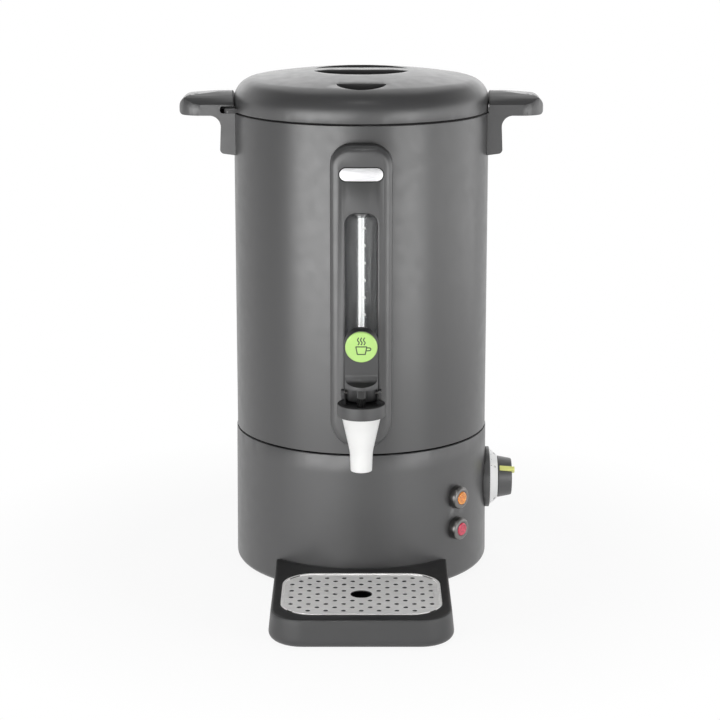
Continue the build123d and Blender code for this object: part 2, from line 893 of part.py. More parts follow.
with BuildPart() as front_panel:
    with BuildSketch(Plane.XZ) as panel_outline:
        outline(
            panel_outline,
            [
                (-panel_half, panel_bottom),
                (panel_half, panel_bottom),
                (panel_half, panel_top),
                (-panel_half, panel_top),
            ],
            [
                ((-panel_half, panel_top), panel_top_round),
                ((panel_half, panel_top), panel_top_round),
                ((-panel_half, panel_bottom), panel_bottom_round),
                ((panel_half, panel_bottom), panel_bottom_round),
            ],
        )
    extrude(amount=panel_radius + overrun)
    keep_ring(tank_radius + seat_gap, panel_radius, panel_bottom - overrun, panel_top + overrun)
    fillet(front_panel.faces().sort_by(Axis.Y)[0].edges(), radius=panel_edge_round)
    add(channel_cutter.part, mode=Mode.SUBTRACT)
    channel_rim = front_panel.faces().sort_by(Axis.Y)[0].inner_wires()[0].edges()
    fillet(channel_rim, radius=channel_edge_round)
    with BuildSketch(Plane.XY.offset(channel_top)):
        with Locations((0, -gauge_reach)):
            Circle(gauge_cap_radius + seat_gap)
    extrude(amount=-2 * channel_floor_round, mode=Mode.SUBTRACT)
    add(badge_cutter.part, mode=Mode.SUBTRACT)
    with BuildSketch(Plane.XZ):
        with Locations((0, shank_height)):
            Circle(shank_radius + seat_gap)
    extrude(amount=panel_radius, mode=Mode.SUBTRACT)
finish(front_panel, "front_panel")

# Badge plate: a bare bright pill in its recess
with BuildPart() as badge_plate:
    with BuildSketch(Plane.XZ):
        with Locations((0, badge_height_centre)):
            SlotOverall(badge_width, badge_height)
    extrude(amount=panel_radius + overrun)
    keep_ring(badge_back, badge_back + badge_thickness, badge_low, badge_high)
finish(badge_plate, "badge_plate")

# Sight gauge: a glass tube over a nipple on the tap body, its seal, its cap and its scale strip
gauge_bottom = cup_top + gauge_seat_rise
gauge_top = channel_top - gauge_cap_height - seat_gap
gauge_bore = gauge_radius - gauge_wall
gauge_seal_inner = gauge_bore - seat_gap - gauge_seal_wall
nipple_top = gauge_bottom + gauge_nipple_height
with BuildPart() as gauge_tube:
    with BuildSketch(Plane.XY.offset(gauge_bottom)):
        with Locations((0, -gauge_reach)):
            Circle(gauge_radius)
            Circle(gauge_bore, mode=Mode.SUBTRACT)
    extrude(amount=gauge_top - gauge_bottom)
finish(gauge_tube, "gauge_tube")

with BuildPart() as gauge_seal:
    with BuildSketch(Plane.XY.offset(gauge_bottom)):
        with Locations((0, -gauge_reach)):
            Circle(gauge_bore - seat_gap)
            Circle(gauge_seal_inner, mode=Mode.SUBTRACT)
    extrude(amount=gauge_nipple_height)
finish(gauge_seal, "gauge_seal")

with BuildPart() as gauge_cap:
    with BuildSketch(Plane.XY.offset(gauge_top)):
        with Locations((0, -gauge_reach)):
            Circle(gauge_cap_radius)
    extrude(amount=gauge_cap_height)
    with BuildSketch(Plane.XY.offset(gauge_top)):
        with Locations((0, -gauge_reach)):
            Circle(gauge_bore - seat_gap)
    extrude(amount=-gauge_cap_plug)
    keep_ring(channel_radius, panel_radius, gauge_top - gauge_cap_plug, channel_top)
finish(gauge_cap, "gauge_cap")

strip_top = gauge_top - gauge_cap_plug
strip_bottom = nipple_top + running_gap
tick_start = strip_width / 2
with BuildPart() as gauge_scale:
    with BuildSketch(Plane.XZ.offset(gauge_reach - strip_thickness / 2)):
        with Locations((0, (strip_top + strip_bottom) / 2)):
            Rectangle(strip_width, strip_top - strip_bottom)
        for mark in range(tick_count):
            with Locations((tick_start, channel_top - tick_top_drop - mark * tick_pitch)):
                Rectangle(2 * tick_length, tick_height)
    extrude(amount=strip_thickness)
finish(gauge_scale, "gauge_scale")

# Tap body: the valve housing under the collar, the block in the channel, and the shank
tap_plane = Plane(origin=(0, -tap_reach, 0), x_dir=(1, 0, 0), z_dir=(0, -1, 0))
tap_axis = Axis((0, -tap_reach, 0), (0, 0, 1))
seat_bottom = cup_bottom - valve_tube_drop
seat_top = seat_bottom + seat_thickness
valve_ceiling = cup_top - cup_roof
nozzle_taper_share = (collar_bottom - seat_bottom) / nozzle_waist_drop
nozzle_at_seat = nozzle_radius + (nozzle_waist_radius - nozzle_radius) * nozzle_taper_share
valve_tube_radius = nozzle_at_seat - nozzle_wall - seat_gap
valve_bore = valve_tube_radius - valve_tube_wall
block_front = tap_reach - nozzle_radius - 2 * running_gap
block_back = channel_radius + seat_gap
block_bottom = shank_height - block_drop
block_half = block_width / 2
ear_inner = lever_width / 2 + ear_play
ear_outer = ear_inner + ear_thickness
feed_top = valve_ceiling
feed_well_centre = block_front - feed_well_front - feed_well / 2
with BuildPart() as tap_body:
    with BuildSketch(Plane.XY.offset(block_bottom)) as block_plan:
        outline(
            block_plan,
            [
                (-block_half, -block_front),
                (block_half, -block_front),
                (block_half, -block_back),
                (-block_half, -block_back),
            ],
            [
                ((block_half, -block_back), block_back_round),
                ((-block_half, -block_back), block_back_round),
            ],
        )
    extrude(amount=cup_top - block_bottom)
    with BuildSketch(Plane.XY.offset(cup_bottom)):
        with Locations((0, -pivot_reach)):
            Rectangle(2 * ear_outer, 2 * ear_radius)
    extrude(amount=cup_height)
    with BuildSketch(Plane.YZ) as ear_outline:
        with Locations((-pivot_reach, pivot_height)):
            Circle(ear_radius)
        with Locations((-pivot_reach, (pivot_height + cup_bottom) / 2)):
            Rectangle(2 * ear_radius, pivot_height - cup_bottom)
    extrude(amount=ear_outer, both=True)
    with BuildSketch(Plane.YZ) as ear_room:
        with Locations((-pivot_reach, (pivot_height + ear_radius + cup_top) / 2)):
            Rectangle(2 * ear_radius + overrun, pivot_height + ear_radius - cup_top)
    extrude(amount=ear_inner, both=True, mode=Mode.SUBTRACT)
    with BuildSketch(Plane.XY.offset(cup_bottom)):
        with Locations((0, -(tap_reach + pivot_reach) / 2)):
            Rectangle(neck_width, tap_reach - pivot_reach)
    extrude(amount=cup_height)
    with BuildSketch(Plane.XY.offset(block_bottom)):
        with Locations((0, -gauge_reach)):
            Circle(gauge_radius + gauge_seat_lip)
    extrude(amount=gauge_bottom - block_bottom)
    with BuildSketch(Plane.XY.offset(gauge_bottom)):
        with Locations((0, -gauge_reach)):
            Circle(gauge_seal_inner - seat_gap)
    extrude(amount=gauge_nipple_height)
    keep_ring(0, channel_radius + seat_gap, block_bottom - overrun, nipple_top, Mode.SUBTRACT)
    with BuildSketch(tap_plane) as valve_section:
        outline(
            valve_section,
            [
                (0, seat_bottom),
                (valve_tube_radius, seat_bottom),
                (valve_tube_radius, cup_bottom),
                (cup_radius, cup_bottom),
                (cup_radius, cup_top),
                (0, cup_top),
            ],
        )
    revolve(axis=tap_axis)
    with BuildSketch(Plane.XZ.offset(tank_inner - shank_length)):
        with Locations((0, shank_height)):
            Circle(shank_radius)
    extrude(amount=block_front - feed_well - tank_inner + shank_length)
    with BuildSketch(tap_plane) as bore_section:
        outline(
            bore_section,
            [
                (0, seat_bottom - overrun),
                (seat_hole_radius, seat_bottom - overrun),
                (seat_hole_radius, seat_top),
                (valve_bore, seat_top),
                (valve_bore, valve_ceiling),
                (stem_radius + shaft_gap, valve_ceiling),
                (stem_radius + shaft_gap, cup_top + overrun),
                (0, cup_top + overrun),
            ],
        )
    revolve(axis=tap_axis, mode=Mode.SUBTRACT)
    with BuildSketch(Plane.XZ.offset(tank_inner - shank_length - overrun)):
        with Locations((0, shank_height)):
            Circle(shank_bore)
    extrude(amount=feed_well_centre - tank_inner + shank_length + overrun, mode=Mode.SUBTRACT)
    with BuildSketch(Plane.XY.offset(shank_height - shank_bore)):
        with Locations((0, -feed_well_centre)):
            Rectangle(feed_width, feed_well)
    extrude(amount=feed_top - shank_height + shank_bore, mode=Mode.SUBTRACT)
    with BuildSketch(Plane.XY.offset(feed_top - feed_height)):
        with Locations((0, -(feed_well_centre + tap_reach) / 2)):
            Rectangle(feed_width, tap_reach - feed_well_centre)
    extrude(amount=feed_height, mode=Mode.SUBTRACT)
    with BuildSketch(Plane.XY.offset(shank_height)):
        with Locations((0, -gauge_reach)):
            Circle(gauge_nipple_bore)
    extrude(amount=nipple_top - shank_height + overrun, mode=Mode.SUBTRACT)
    with BuildSketch(Plane.YZ):
        with Locations((-pivot_reach, pivot_height)):
            Circle(pivot_radius + seat_gap / 2)
    extrude(amount=ear_outer + overrun, both=True, mode=Mode.SUBTRACT)
finish(tap_body, "tap_body")

# Gasket and nut that clamp the shank inside the tank
gasket_face = sqrt((tank_inner - seat_gap) ** 2 - gasket_radius**2) - gasket_thickness
with BuildPart() as tap_gasket:
    with BuildSketch(Plane.XZ.offset(gasket_face)):
        with Locations((0, shank_height)):
            Circle(gasket_radius)
            Circle(shank_radius + seat_gap, mode=Mode.SUBTRACT)
    extrude(amount=tank_inner - gasket_face)
    keep_ring(0, tank_inner - seat_gap, shank_height - gasket_radius, shank_height + gasket_radius)
finish(tap_gasket, "tap_gasket")

with BuildPart() as tap_nut:
    with BuildSketch(Plane.XZ.offset(gasket_face)):
        with Locations((0, shank_height)):
            RegularPolygon(shank_nut_radius, 6)
            Circle(shank_radius + seat_gap, mode=Mode.SUBTRACT)
    extrude(amount=-shank_nut_height)
finish(tap_nut, "tap_nut")

# Collar: a horseshoe ring round the valve housing, open at the back for the lever's leg
collar_lip_inner = collar_radius - collar_lip_width
with BuildPart() as tap_collar:
    with BuildSketch(tap_plane) as collar_section:
        outline(
            collar_section,
            [
                (collar_lip_inner, collar_bottom),
                (collar_radius, collar_bottom),
                (collar_radius, collar_top),
                (cup_radius + seat_gap, collar_top),
                (cup_radius + seat_gap, collar_bottom + collar_lip),
                (collar_lip_inner, collar_bottom + collar_lip),
            ],
            [
                ((collar_radius, collar_top), collar_edge_round),
                ((collar_radius, collar_bottom), collar_edge_round),
            ],
        )
    revolve(axis=tap_axis)
    with BuildSketch(Plane.XY.offset(collar_bottom - overrun)):
        with Locations((0, -tap_reach + collar_notch_back + collar_radius)):
            Rectangle(collar_notch_width, 2 * collar_radius)
    extrude(amount=collar_top - collar_bottom + 2 * overrun, mode=Mode.SUBTRACT)
finish(tap_collar, "tap_collar")

# Nozzle: a thin white funnel that hangs under the collar
waist_height = collar_bottom - nozzle_waist_drop
with BuildPart() as tap_nozzle:
    with BuildSketch(tap_plane) as nozzle_section:
        outline(
            nozzle_section,
            [
                (nozzle_radius, collar_bottom),
                (nozzle_waist_radius, waist_height),
                (nozzle_mouth_radius, nozzle_bottom),
                (nozzle_mouth_radius - nozzle_wall, nozzle_bottom),
                (nozzle_waist_radius - nozzle_wall, waist_height),
                (nozzle_radius - nozzle_wall, collar_bottom),
            ],
            [
                ((nozzle_waist_radius, waist_height), nozzle_waist_round),
                ((nozzle_waist_radius - nozzle_wall, waist_height), nozzle_waist_round),
            ],
        )
    revolve(axis=tap_axis)
finish(tap_nozzle, "tap_nozzle")

# Lever: a leaning paddle with a round head, a toe that lifts the stem, and a half-round leg
toe_under = pivot_height + lever_foot_rise
toe_back_top = pivot_height + toe_height_back
toe_front_top = pivot_height + toe_height_front
toe_front_reach = pivot_reach + toe_front
paddle_foot = pivot_reach + lever_set_forward
lever_half = lever_width / 2
lean = radians(lever_lean)
paddle_plane = Plane(
    origin=(0, -paddle_foot, toe_back_top),
    x_dir=(1, 0, 0),
    z_dir=(0, -cos(lean), -sin(lean)),
)
head_along = (lever_head_rise - toe_height_back) / cos(lean)
paddle_back = paddle_foot - lever_thickness
leg_reach = pivot_reach + leg_front
leg_centre = leg_reach - lever_half
cross_pin_height = toe_under + cross_pin_rise

with BuildPart() as lever_toe:
    with BuildSketch(Plane.XY.offset(toe_under)):
        with Locations((0, -(toe_front_reach - lever_half))):
            Circle(lever_half)
        with Locations((0, -(toe_front_reach - lever_half + paddle_back) / 2)):
            Rectangle(lever_width, toe_front_reach - lever_half - paddle_back)
    extrude(amount=toe_back_top - toe_under)
    with BuildSketch(Plane.YZ) as toe_slope:
        outline(
            toe_slope,
            [
                (-paddle_foot, toe_back_top),
                (-toe_front_reach, toe_front_top),
                (-toe_front_reach - overrun, toe_front_top),
                (-toe_front_reach - overrun, toe_back_top + overrun),
                (-paddle_foot, toe_back_top + overrun),
            ],
        )
    extrude(amount=lever_half + overrun, both=True, mode=Mode.SUBTRACT)

with BuildPart() as tap_lever:
    with BuildSketch(paddle_plane):
        with Locations((0, (head_along - toe_back_top + toe_under) / 2)):
            Rectangle(lever_width, head_along + toe_back_top - toe_under)
        with Locations((0, head_along)):
            Circle(lever_half)
    extrude(amount=-lever_thickness)
    paddle_top_edges = tap_lever.edges().filter_by(GeomType.CIRCLE).group_by(Axis.Z)[-1]
    fillet(paddle_top_edges, radius=lever_edge_round)
    add(lever_toe.part)
    toe_bend = tap_lever.edges().filter_by(Axis.X).sort_by_distance((0, -paddle_foot, toe_back_top))[0]
    fillet(toe_bend, radius=toe_bend_round)
    with BuildSketch(Plane.XY.offset(pivot_height - leg_bottom)):
        with Locations((0, -leg_centre)):
            Circle(lever_half)
        with Locations((0, -leg_centre + lever_half)):
            Rectangle(lever_width + overrun, lever_width, mode=Mode.SUBTRACT)
    extrude(amount=toe_back_top - pivot_height + leg_bottom)
    with BuildSketch(paddle_plane):
        with Locations((0, head_along)):
            Circle(button_radius + seat_gap)
    extrude(amount=-button_recess, mode=Mode.SUBTRACT)
    pin_room = cross_pin_radius + pin_slot_play
    with BuildSketch(Plane.XY.offset(cross_pin_height - pin_room)):
        with Locations((0, -tap_reach - pin_slot_travel / 2)):
            Rectangle(cross_pin_length + 4 * running_gap, pin_slot_travel + 2 * pin_room)
    extrude(amount=2 * pin_room, mode=Mode.SUBTRACT)
    neck_room = stem_neck_radius + running_gap
    with BuildSketch(Plane.XY.offset(toe_under - overrun)):
        with Locations((0, -tap_reach - pin_slot_travel / 2)):
            Rectangle(2 * neck_room, pin_slot_travel + 2 * neck_room)
    extrude(amount=cross_pin_rise + pin_room + overrun, mode=Mode.SUBTRACT)
    with BuildSketch(Plane.YZ):
        with Locations((-pivot_reach, pivot_height)):
            Circle(pivot_radius + shaft_gap)
    extrude(amount=lever_half + overrun, both=True, mode=Mode.SUBTRACT)
finish(tap_lever, "tap_lever")

with BuildPart() as lever_button:
    with BuildSketch(paddle_plane.offset(-button_recess)):
        with Locations((0, head_along)):
            Circle(button_radius)
    extrude(amount=button_thickness)
    fillet(lever_button.edges().sort_by(Axis.Y)[0], radius=button_dome)
finish(lever_button, "lever_button")

with BuildPart() as lever_pin:
    with BuildSketch(Plane.YZ):
        with Locations((-pivot_reach, pivot_height)):
            Circle(pivot_radius)
    extrude(amount=ear_outer + pivot_end, both=True)
finish(lever_pin, "lever_pin")

# Valve: the stem with its cross pin, the rubber plug on the seat, and the closing spring
plug_top = seat_top + plug_height
stem_shoulder = toe_under - stem_shoulder_gap
with BuildPart() as valve_stem:
    with BuildSketch(tap_plane) as stem_section:
        outline(
            stem_section,
            [
                (0, plug_top - plug_socket_depth),
                (plug_socket_radius - seat_gap, plug_top - plug_socket_depth),
                (plug_socket_radius - seat_gap, plug_top),
                (stem_radius, plug_top),
                (stem_radius, stem_shoulder),
                (stem_neck_radius, stem_shoulder),
                (stem_neck_radius, cross_pin_height),
                (0, cross_pin_height),
            ],
        )
    revolve(axis=tap_axis)
    with BuildSketch(Plane.YZ):
        with Locations((-tap_reach, cross_pin_height)):
            Circle(cross_pin_radius)
    extrude(amount=cross_pin_length / 2, both=True)
finish(valve_stem, "valve_stem")

with BuildPart() as valve_plug:
    with BuildSketch(Plane.XY.offset(seat_top)):
        with Locations((0, -tap_reach)):
            Circle(plug_radius)
    extrude(amount=plug_height)
    with BuildSketch(Plane.XY.offset(plug_top)):
        with Locations((0, -tap_reach)):
            Circle(plug_socket_radius)
    extrude(amount=-plug_socket_depth, mode=Mode.SUBTRACT)
finish(valve_plug, "valve_plug")

spring_low = plug_top + spring_wire_radius
spring_high = valve_ceiling - spring_wire_radius
with BuildPart() as valve_spring:
    with BuildLine() as spring_line:
        Helix(
            pitch=(spring_high - spring_low) / spring_turns,
            height=spring_high - spring_low,
            radius=spring_radius,
            center=(0, -tap_reach, spring_low),
        )
    with BuildSketch(Plane(spring_line.line @ 0, z_dir=spring_line.line % 0)):
        Circle(spring_wire_radius)
    sweep(path=spring_line.line, is_frenet=True)
finish(valve_spring, "valve_spring")

# Lid cover: a domed moulding with a finger well, a grip bar, a steam scoop and two locking lugs
crown_radius = (tank_radius**2 + lid_crown**2) / (2 * lid_crown)
well_bottom = lid_top - well_depth
scoop_bottom = lid_top - scoop_depth
rim_top = lid_rim + lid_rim_height
rim_inner = tank_radius - lid_rim_width
seal_outer = tank_radius - seal_inset
seal_inner = seal_outer - seal_width
lug_end = tank_radius + lug_reach
lug_start = tank_radius - lid_wall / 2
screw_circle = (rim_inner + mouth_radius) / 2


def dome(sketch, low, shrink):
    """Half section of the lid's domed form, or of the hollow inside it when it is shrunk."""
    edge = tank_radius - shrink
    shoulder = (edge, lid_top - crown_radius + sqrt((crown_radius - shrink) ** 2 - edge**2))
    halfway = (edge / 2, lid_top - crown_radius + sqrt((crown_radius - shrink) ** 2 - edge**2 / 4))
    with BuildLine() as dome_line:
        Polyline((0, lid_top - shrink), (0, low), (edge, low), shoulder)
        ThreePointArc(shoulder, halfway, (0, lid_top - shrink))
    make_face(dome_line.edges())
    fillet(sketch.vertices().sort_by_distance(shoulder)[0], radius=lid_shoulder_round - shrink)


def scoop(sketch, grow):
    """Plan of the steam scoop: a straight back edge and a round front."""
    half = scoop_width / 2 + grow
    with BuildLine() as scoop_line:
        Line((half, -scoop_back + grow), (-half, -scoop_back + grow))
        ThreePointArc(
            (-half, -scoop_back + grow),
            (0, -scoop_front - grow),
            (half, -scoop_back + grow),
        )
    make_face(scoop_line.edges())


with BuildPart() as lid_cavity:
    with BuildSketch(Plane.XZ) as cavity_section:
        dome(cavity_section, rim_top, lid_wall)
    revolve(axis=Axis.Z)
    with BuildSketch(Plane.XY.offset(well_bottom - well_floor)):
        Circle(well_radius + well_wall)
    extrude(amount=well_depth + well_floor, mode=Mode.SUBTRACT)
    with BuildSketch(Plane.XY.offset(scoop_bottom - scoop_wall)) as scoop_wall_plan:
        scoop(scoop_wall_plan, scoop_wall)
    extrude(amount=scoop_depth + scoop_wall, mode=Mode.SUBTRACT)

with BuildPart() as lid_well:
    with BuildSketch(Plane.XY.offset(well_bottom)):
        Circle(well_radius)
    extrude(amount=well_depth + overrun)
    with BuildSketch(Plane.XY.offset(lid_top - grip_drop - grip_thickness)):
        Rectangle(2 * well_radius + overrun, grip_width)
    extrude(amount=grip_thickness, mode=Mode.SUBTRACT)
    grip_edges = lid_well.edges().filter_by(Axis.X)
    fillet(grip_edges, radius=grip_round)

with BuildPart() as lid_cover:
    with BuildSketch(Plane.XZ) as dome_section:
        dome(dome_section, lid_rim, 0)
    revolve(axis=Axis.Z)
    add(lid_cavity.part, mode=Mode.SUBTRACT)
    with BuildSketch(Plane.XY.offset(lid_rim)):
        Circle(rim_inner)
    extrude(amount=lid_rim_height, mode=Mode.SUBTRACT)
    add(lid_well.part, mode=Mode.SUBTRACT)
    with BuildSketch(Plane.XY.offset(scoop_bottom)) as scoop_plan:
        scoop(scoop_plan, 0)
    extrude(amount=scoop_depth, mode=Mode.SUBTRACT)
    with BuildSketch(Plane.XY.offset(scoop_bottom)):
        with Locations((0, -(scoop_back + scoop_front) / 2)):
            with GridLocations(vent_hole_pitch, 0, vent_hole_count, 1):
                Circle(vent_hole_radius)
    extrude(amount=-(scoop_wall + overrun), mode=Mode.SUBTRACT)
    with BuildSketch(Plane.XY.offset(lid_rim)):
        Circle(seal_outer + seat_gap)
        Circle(seal_inner - seat_gap, mode=Mode.SUBTRACT)
    extrude(amount=seal_groove_depth, mode=Mode.SUBTRACT)
    with BuildSketch(Plane.XY.offset(lid_rim)):
        with PolarLocations(screw_circle, lid_screw_count, start_angle=stud_start_angle):
            Circle(lid_screw_radius + seat_gap)
    extrude(amount=lid_screw_length + seat_gap, mode=Mode.SUBTRACT)
    with BuildSketch(Plane.XY.offset(lid_rim)):
        with PolarLocations((lug_start + lug_end) / 2, 2, start_angle=lug_rest_angle):
            RectangleRounded(lug_end - lug_start, lug_width, lug_round)
    extrude(amount=lug_height)
finish(lid_cover, "lid_cover")

# Liner pan under the lid, with steam holes, held up by short screws
liner_radius = mouth_radius - liner_play
liner_bottom = lid_rim - liner_depth
with BuildPart() as lid_liner:
    with BuildSketch(Plane.XZ) as liner_section:
        outline(
            liner_section,
            [
                (0, liner_bottom),
                (liner_radius, liner_bottom),
                (liner_radius, lid_rim),
                (rim_inner, lid_rim),
                (rim_inner, lid_rim - liner_wall),
                (liner_radius - liner_wall, lid_rim - liner_wall),
                (liner_radius - liner_wall, liner_bottom + liner_wall),
                (0, liner_bottom + liner_wall),
            ],
            [((liner_radius, liner_bottom), liner_corner)],
        )
    revolve(axis=Axis.Z)
    with BuildSketch(Plane.XY.offset(liner_bottom)):
        with PolarLocations(screw_circle, lid_screw_count, start_angle=stud_start_angle):
            Circle(lid_screw_head_radius + running_gap)
        with Locations((0, -(scoop_back + scoop_front) / 2)):
            with GridLocations(vent_hole_pitch, 0, vent_hole_count, 1):
                Circle(vent_hole_radius)
    extrude(amount=liner_wall, mode=Mode.SUBTRACT)
    with BuildSketch(Plane.XY.offset(lid_rim - liner_wall)):
        with PolarLocations(screw_circle, lid_screw_count, start_angle=stud_start_angle):
            Circle(lid_screw_radius + seat_gap)
    extrude(amount=liner_wall, mode=Mode.SUBTRACT)
finish(lid_liner, "lid_liner")

with BuildPart() as lid_screws:
    with BuildSketch(Plane.XY.offset(lid_rim - liner_wall)):
        with PolarLocations(screw_circle, lid_screw_count, start_angle=stud_start_angle):
            Circle(lid_screw_radius)
    extrude(amount=liner_wall + lid_screw_length)
    with BuildSketch(Plane.XY.offset(lid_rim - liner_wall - lid_screw_head_height)):
        with PolarLocations(screw_circle, lid_screw_count, start_angle=stud_start_angle):
            Circle(lid_screw_head_radius)
    extrude(amount=lid_screw_head_height)
finish(lid_screws, "lid_screws")

with BuildPart() as lid_seal:
    with BuildSketch(Plane.XY.offset(tank_top)):
        Circle(seal_outer)
        Circle(seal_inner, mode=Mode.SUBTRACT)
    extrude(amount=lid_gap + seal_groove_depth)
finish(lid_seal, "lid_seal")

# Side handles: grips that stand out beside the lid, on brackets down the tank's sides
grip_bottom = tank_top - handle_under
grip_crease = grip_bottom + handle_side_height
grip_top = grip_crease + handle_crown
bracket_low = tank_top - handle_bracket_drop
bracket_outer = tank_radius + handle_bracket_depth
handle_span = bracket_outer + handle_reach
bracket_foot = bracket_outer + handle_bracket_flare
bracket_inner = tank_inner - handle_bracket_depth
notch_outer = tank_radius + notch_reach
notch_low = tank_top - notch_below
notch_high = notch_low + notch_height
screw_heights = (bracket_low + handle_screw_above, bracket_low + handle_screw_above + handle_screw_pitch)
with BuildPart() as handle_left:
    with BuildSketch(Plane.XZ) as handle_side:
        outline(
            handle_side,
            [
                (-bracket_inner, grip_top),
                (-bracket_outer, grip_top),
                (-handle_span, grip_top - handle_tip_drop),
                (-handle_span, grip_bottom),
                (-bracket_outer, grip_bottom),
                (-bracket_foot, bracket_low),
                (-bracket_inner, bracket_low - handle_bracket_slant),
            ],
            [
                ((-handle_span, grip_top - handle_tip_drop), handle_tip_round),
                ((-handle_span, grip_bottom), handle_tip_under),
                ((-bracket_outer, grip_bottom), handle_bend_round),
                ((-bracket_foot, bracket_low), handle_foot_round),
            ],
        )
    extrude(amount=handle_half_width, both=True)
    with BuildSketch(Plane.YZ):
        with BuildLine():
            Line((-handle_half_width, grip_crease), (-handle_half_width, bracket_low - handle_bracket_slant))
            Line(
                (-handle_half_width, bracket_low - handle_bracket_slant),
                (handle_half_width, bracket_low - handle_bracket_slant),
            )
            Line((handle_half_width, bracket_low - handle_bracket_slant), (handle_half_width, grip_crease))
            ThreePointArc((handle_half_width, grip_crease), (0, grip_top), (-handle_half_width, grip_crease))
        make_face()
    extrude(amount=-handle_span, mode=Mode.INTERSECT)
    with BuildSketch(Plane.XY.offset(bracket_low - handle_bracket_slant)) as handle_plan:
        outline(
            handle_plan,
            [
                (-bracket_inner, -handle_half_width),
                (-bracket_inner, handle_half_width),
                (-handle_span, handle_half_width),
                (-handle_span, -handle_half_width),
            ],
            [
                ((-handle_span, handle_half_width), handle_end_round),
                ((-handle_span, -handle_half_width), handle_end_round),
            ],
        )
    extrude(amount=grip_top - bracket_low + handle_bracket_slant, mode=Mode.INTERSECT)
    keep_ring(0, tank_radius + seat_gap, bracket_low - handle_bracket_slant, grip_top, Mode.SUBTRACT)
    keep_ring(0, tank_radius + handle_lid_gap, tank_top - handle_groove_under, grip_top, Mode.SUBTRACT)
    with BuildSketch(Plane.XZ.offset(-notch_past_centre)) as notch_outline:
        outline(
            notch_outline,
            [
                (-bracket_inner, notch_low),
                (-bracket_inner, notch_high),
                (-notch_outer, notch_high),
                (-notch_outer, notch_low),
            ],
            [
                ((-notch_outer, notch_high), notch_round),
                ((-notch_outer, notch_low), notch_round),
            ],
        )
    extrude(amount=notch_past_centre + handle_half_width + overrun, mode=Mode.SUBTRACT)
    with BuildSketch(Plane.YZ.offset(-bracket_inner)):
        for height in screw_heights:
            with Locations((0, height)):
                Circle(handle_screw_radius + seat_gap)
    extrude(amount=-(tank_radius - bracket_inner + handle_screw_grip), mode=Mode.SUBTRACT)
finish(handle_left, "handle_left")

with BuildPart() as handle_right:
    with Locations(Rotation(0, 0, 180)):
        add(handle_left.part)
finish(handle_right, "handle_right")

# Screws from inside the tank into the handle brackets
screw_face = sqrt((tank_inner - seat_gap) ** 2 - handle_screw_head_radius**2)
with BuildPart() as handle_screws:
    with BuildSketch(Plane.YZ.offset(screw_face)):
        for height in screw_heights:
            with Locations((0, height)):
                Circle(handle_screw_radius)
    extrude(amount=tank_radius - screw_face + handle_screw_grip - seat_gap)
    with BuildSketch(Plane.YZ.offset(screw_face)):
        for height in screw_heights:
            with Locations((0, height)):
                Circle(handle_screw_head_radius)
    extrude(amount=-handle_screw_head_height)
    mirror(about=Plane.YZ)
finish(handle_screws, "handle_screws")

# Drip tray: a loose tray with a hollowed back that stands against the base
with BuildPart() as drip_tray:
    with BuildSketch(Plane.XY.offset(tray_pad_height)) as tray_plan:
        outline(
            tray_plan,
            [
                (-tray_half_width, -tray_back),
                (-tray_half_width, -tray_front),
                (tray_half_width, -tray_front),
                (tray_half_width, -tray_back),
            ],
            [
                ((-tray_half_width, -tray_front), tray_corner_round),
                ((tray_half_width, -tray_front), tray_corner_round),
                ((-tray_half_width, -tray_back), tray_back_round),
                ((tray_half_width, -tray_back), tray_back_round),
            ],
        )
    extrude(amount=tray_height - tray_pad_height, taper=tray_draft)
    fillet(drip_tray.edges().group_by(Axis.Z)[0], radius=tray_edge_round)
    fillet(drip_tray.edges().group_by(Axis.Z)[-1], radius=tray_top_round)
    keep_ring(0, base_bottom_radius + tray_gap, 0, tray_height, Mode.SUBTRACT)
    with BuildSketch(Plane.XY.offset(tray_height)):
        with Locations((0, -grille_centre)):
            RectangleRounded(
                2 * (grille_half_width + grille_play),
                2 * (grille_half_depth + grille_play),
                grille_corner_round + grille_play,
            )
    extrude(amount=-(grille_thickness + grille_sink), mode=Mode.SUBTRACT)
    with BuildSketch(Plane.XY.offset(tray_pad_height + tray_floor)):
        with Locations((0, -grille_centre)):
            RectangleRounded(
                2 * (grille_half_width - grille_ledge),
                2 * (grille_half_depth - grille_ledge),
                grille_corner_round - grille_ledge,
            )
    extrude(amount=tray_height - tray_pad_height - tray_floor, mode=Mode.SUBTRACT)
finish(drip_tray, "drip_tray")

with BuildPart() as tray_feet:
    with BuildSketch(Plane.XY):
        with Locations((0, -grille_centre)):
            with GridLocations(
                2 * (tray_half_width - tray_pad_inset), 2 * (tray_front - tray_pad_inset - grille_centre), 2, 2
            ):
                Circle(tray_pad_radius)
    extrude(amount=tray_pad_height)
finish(tray_feet, "tray_feet")

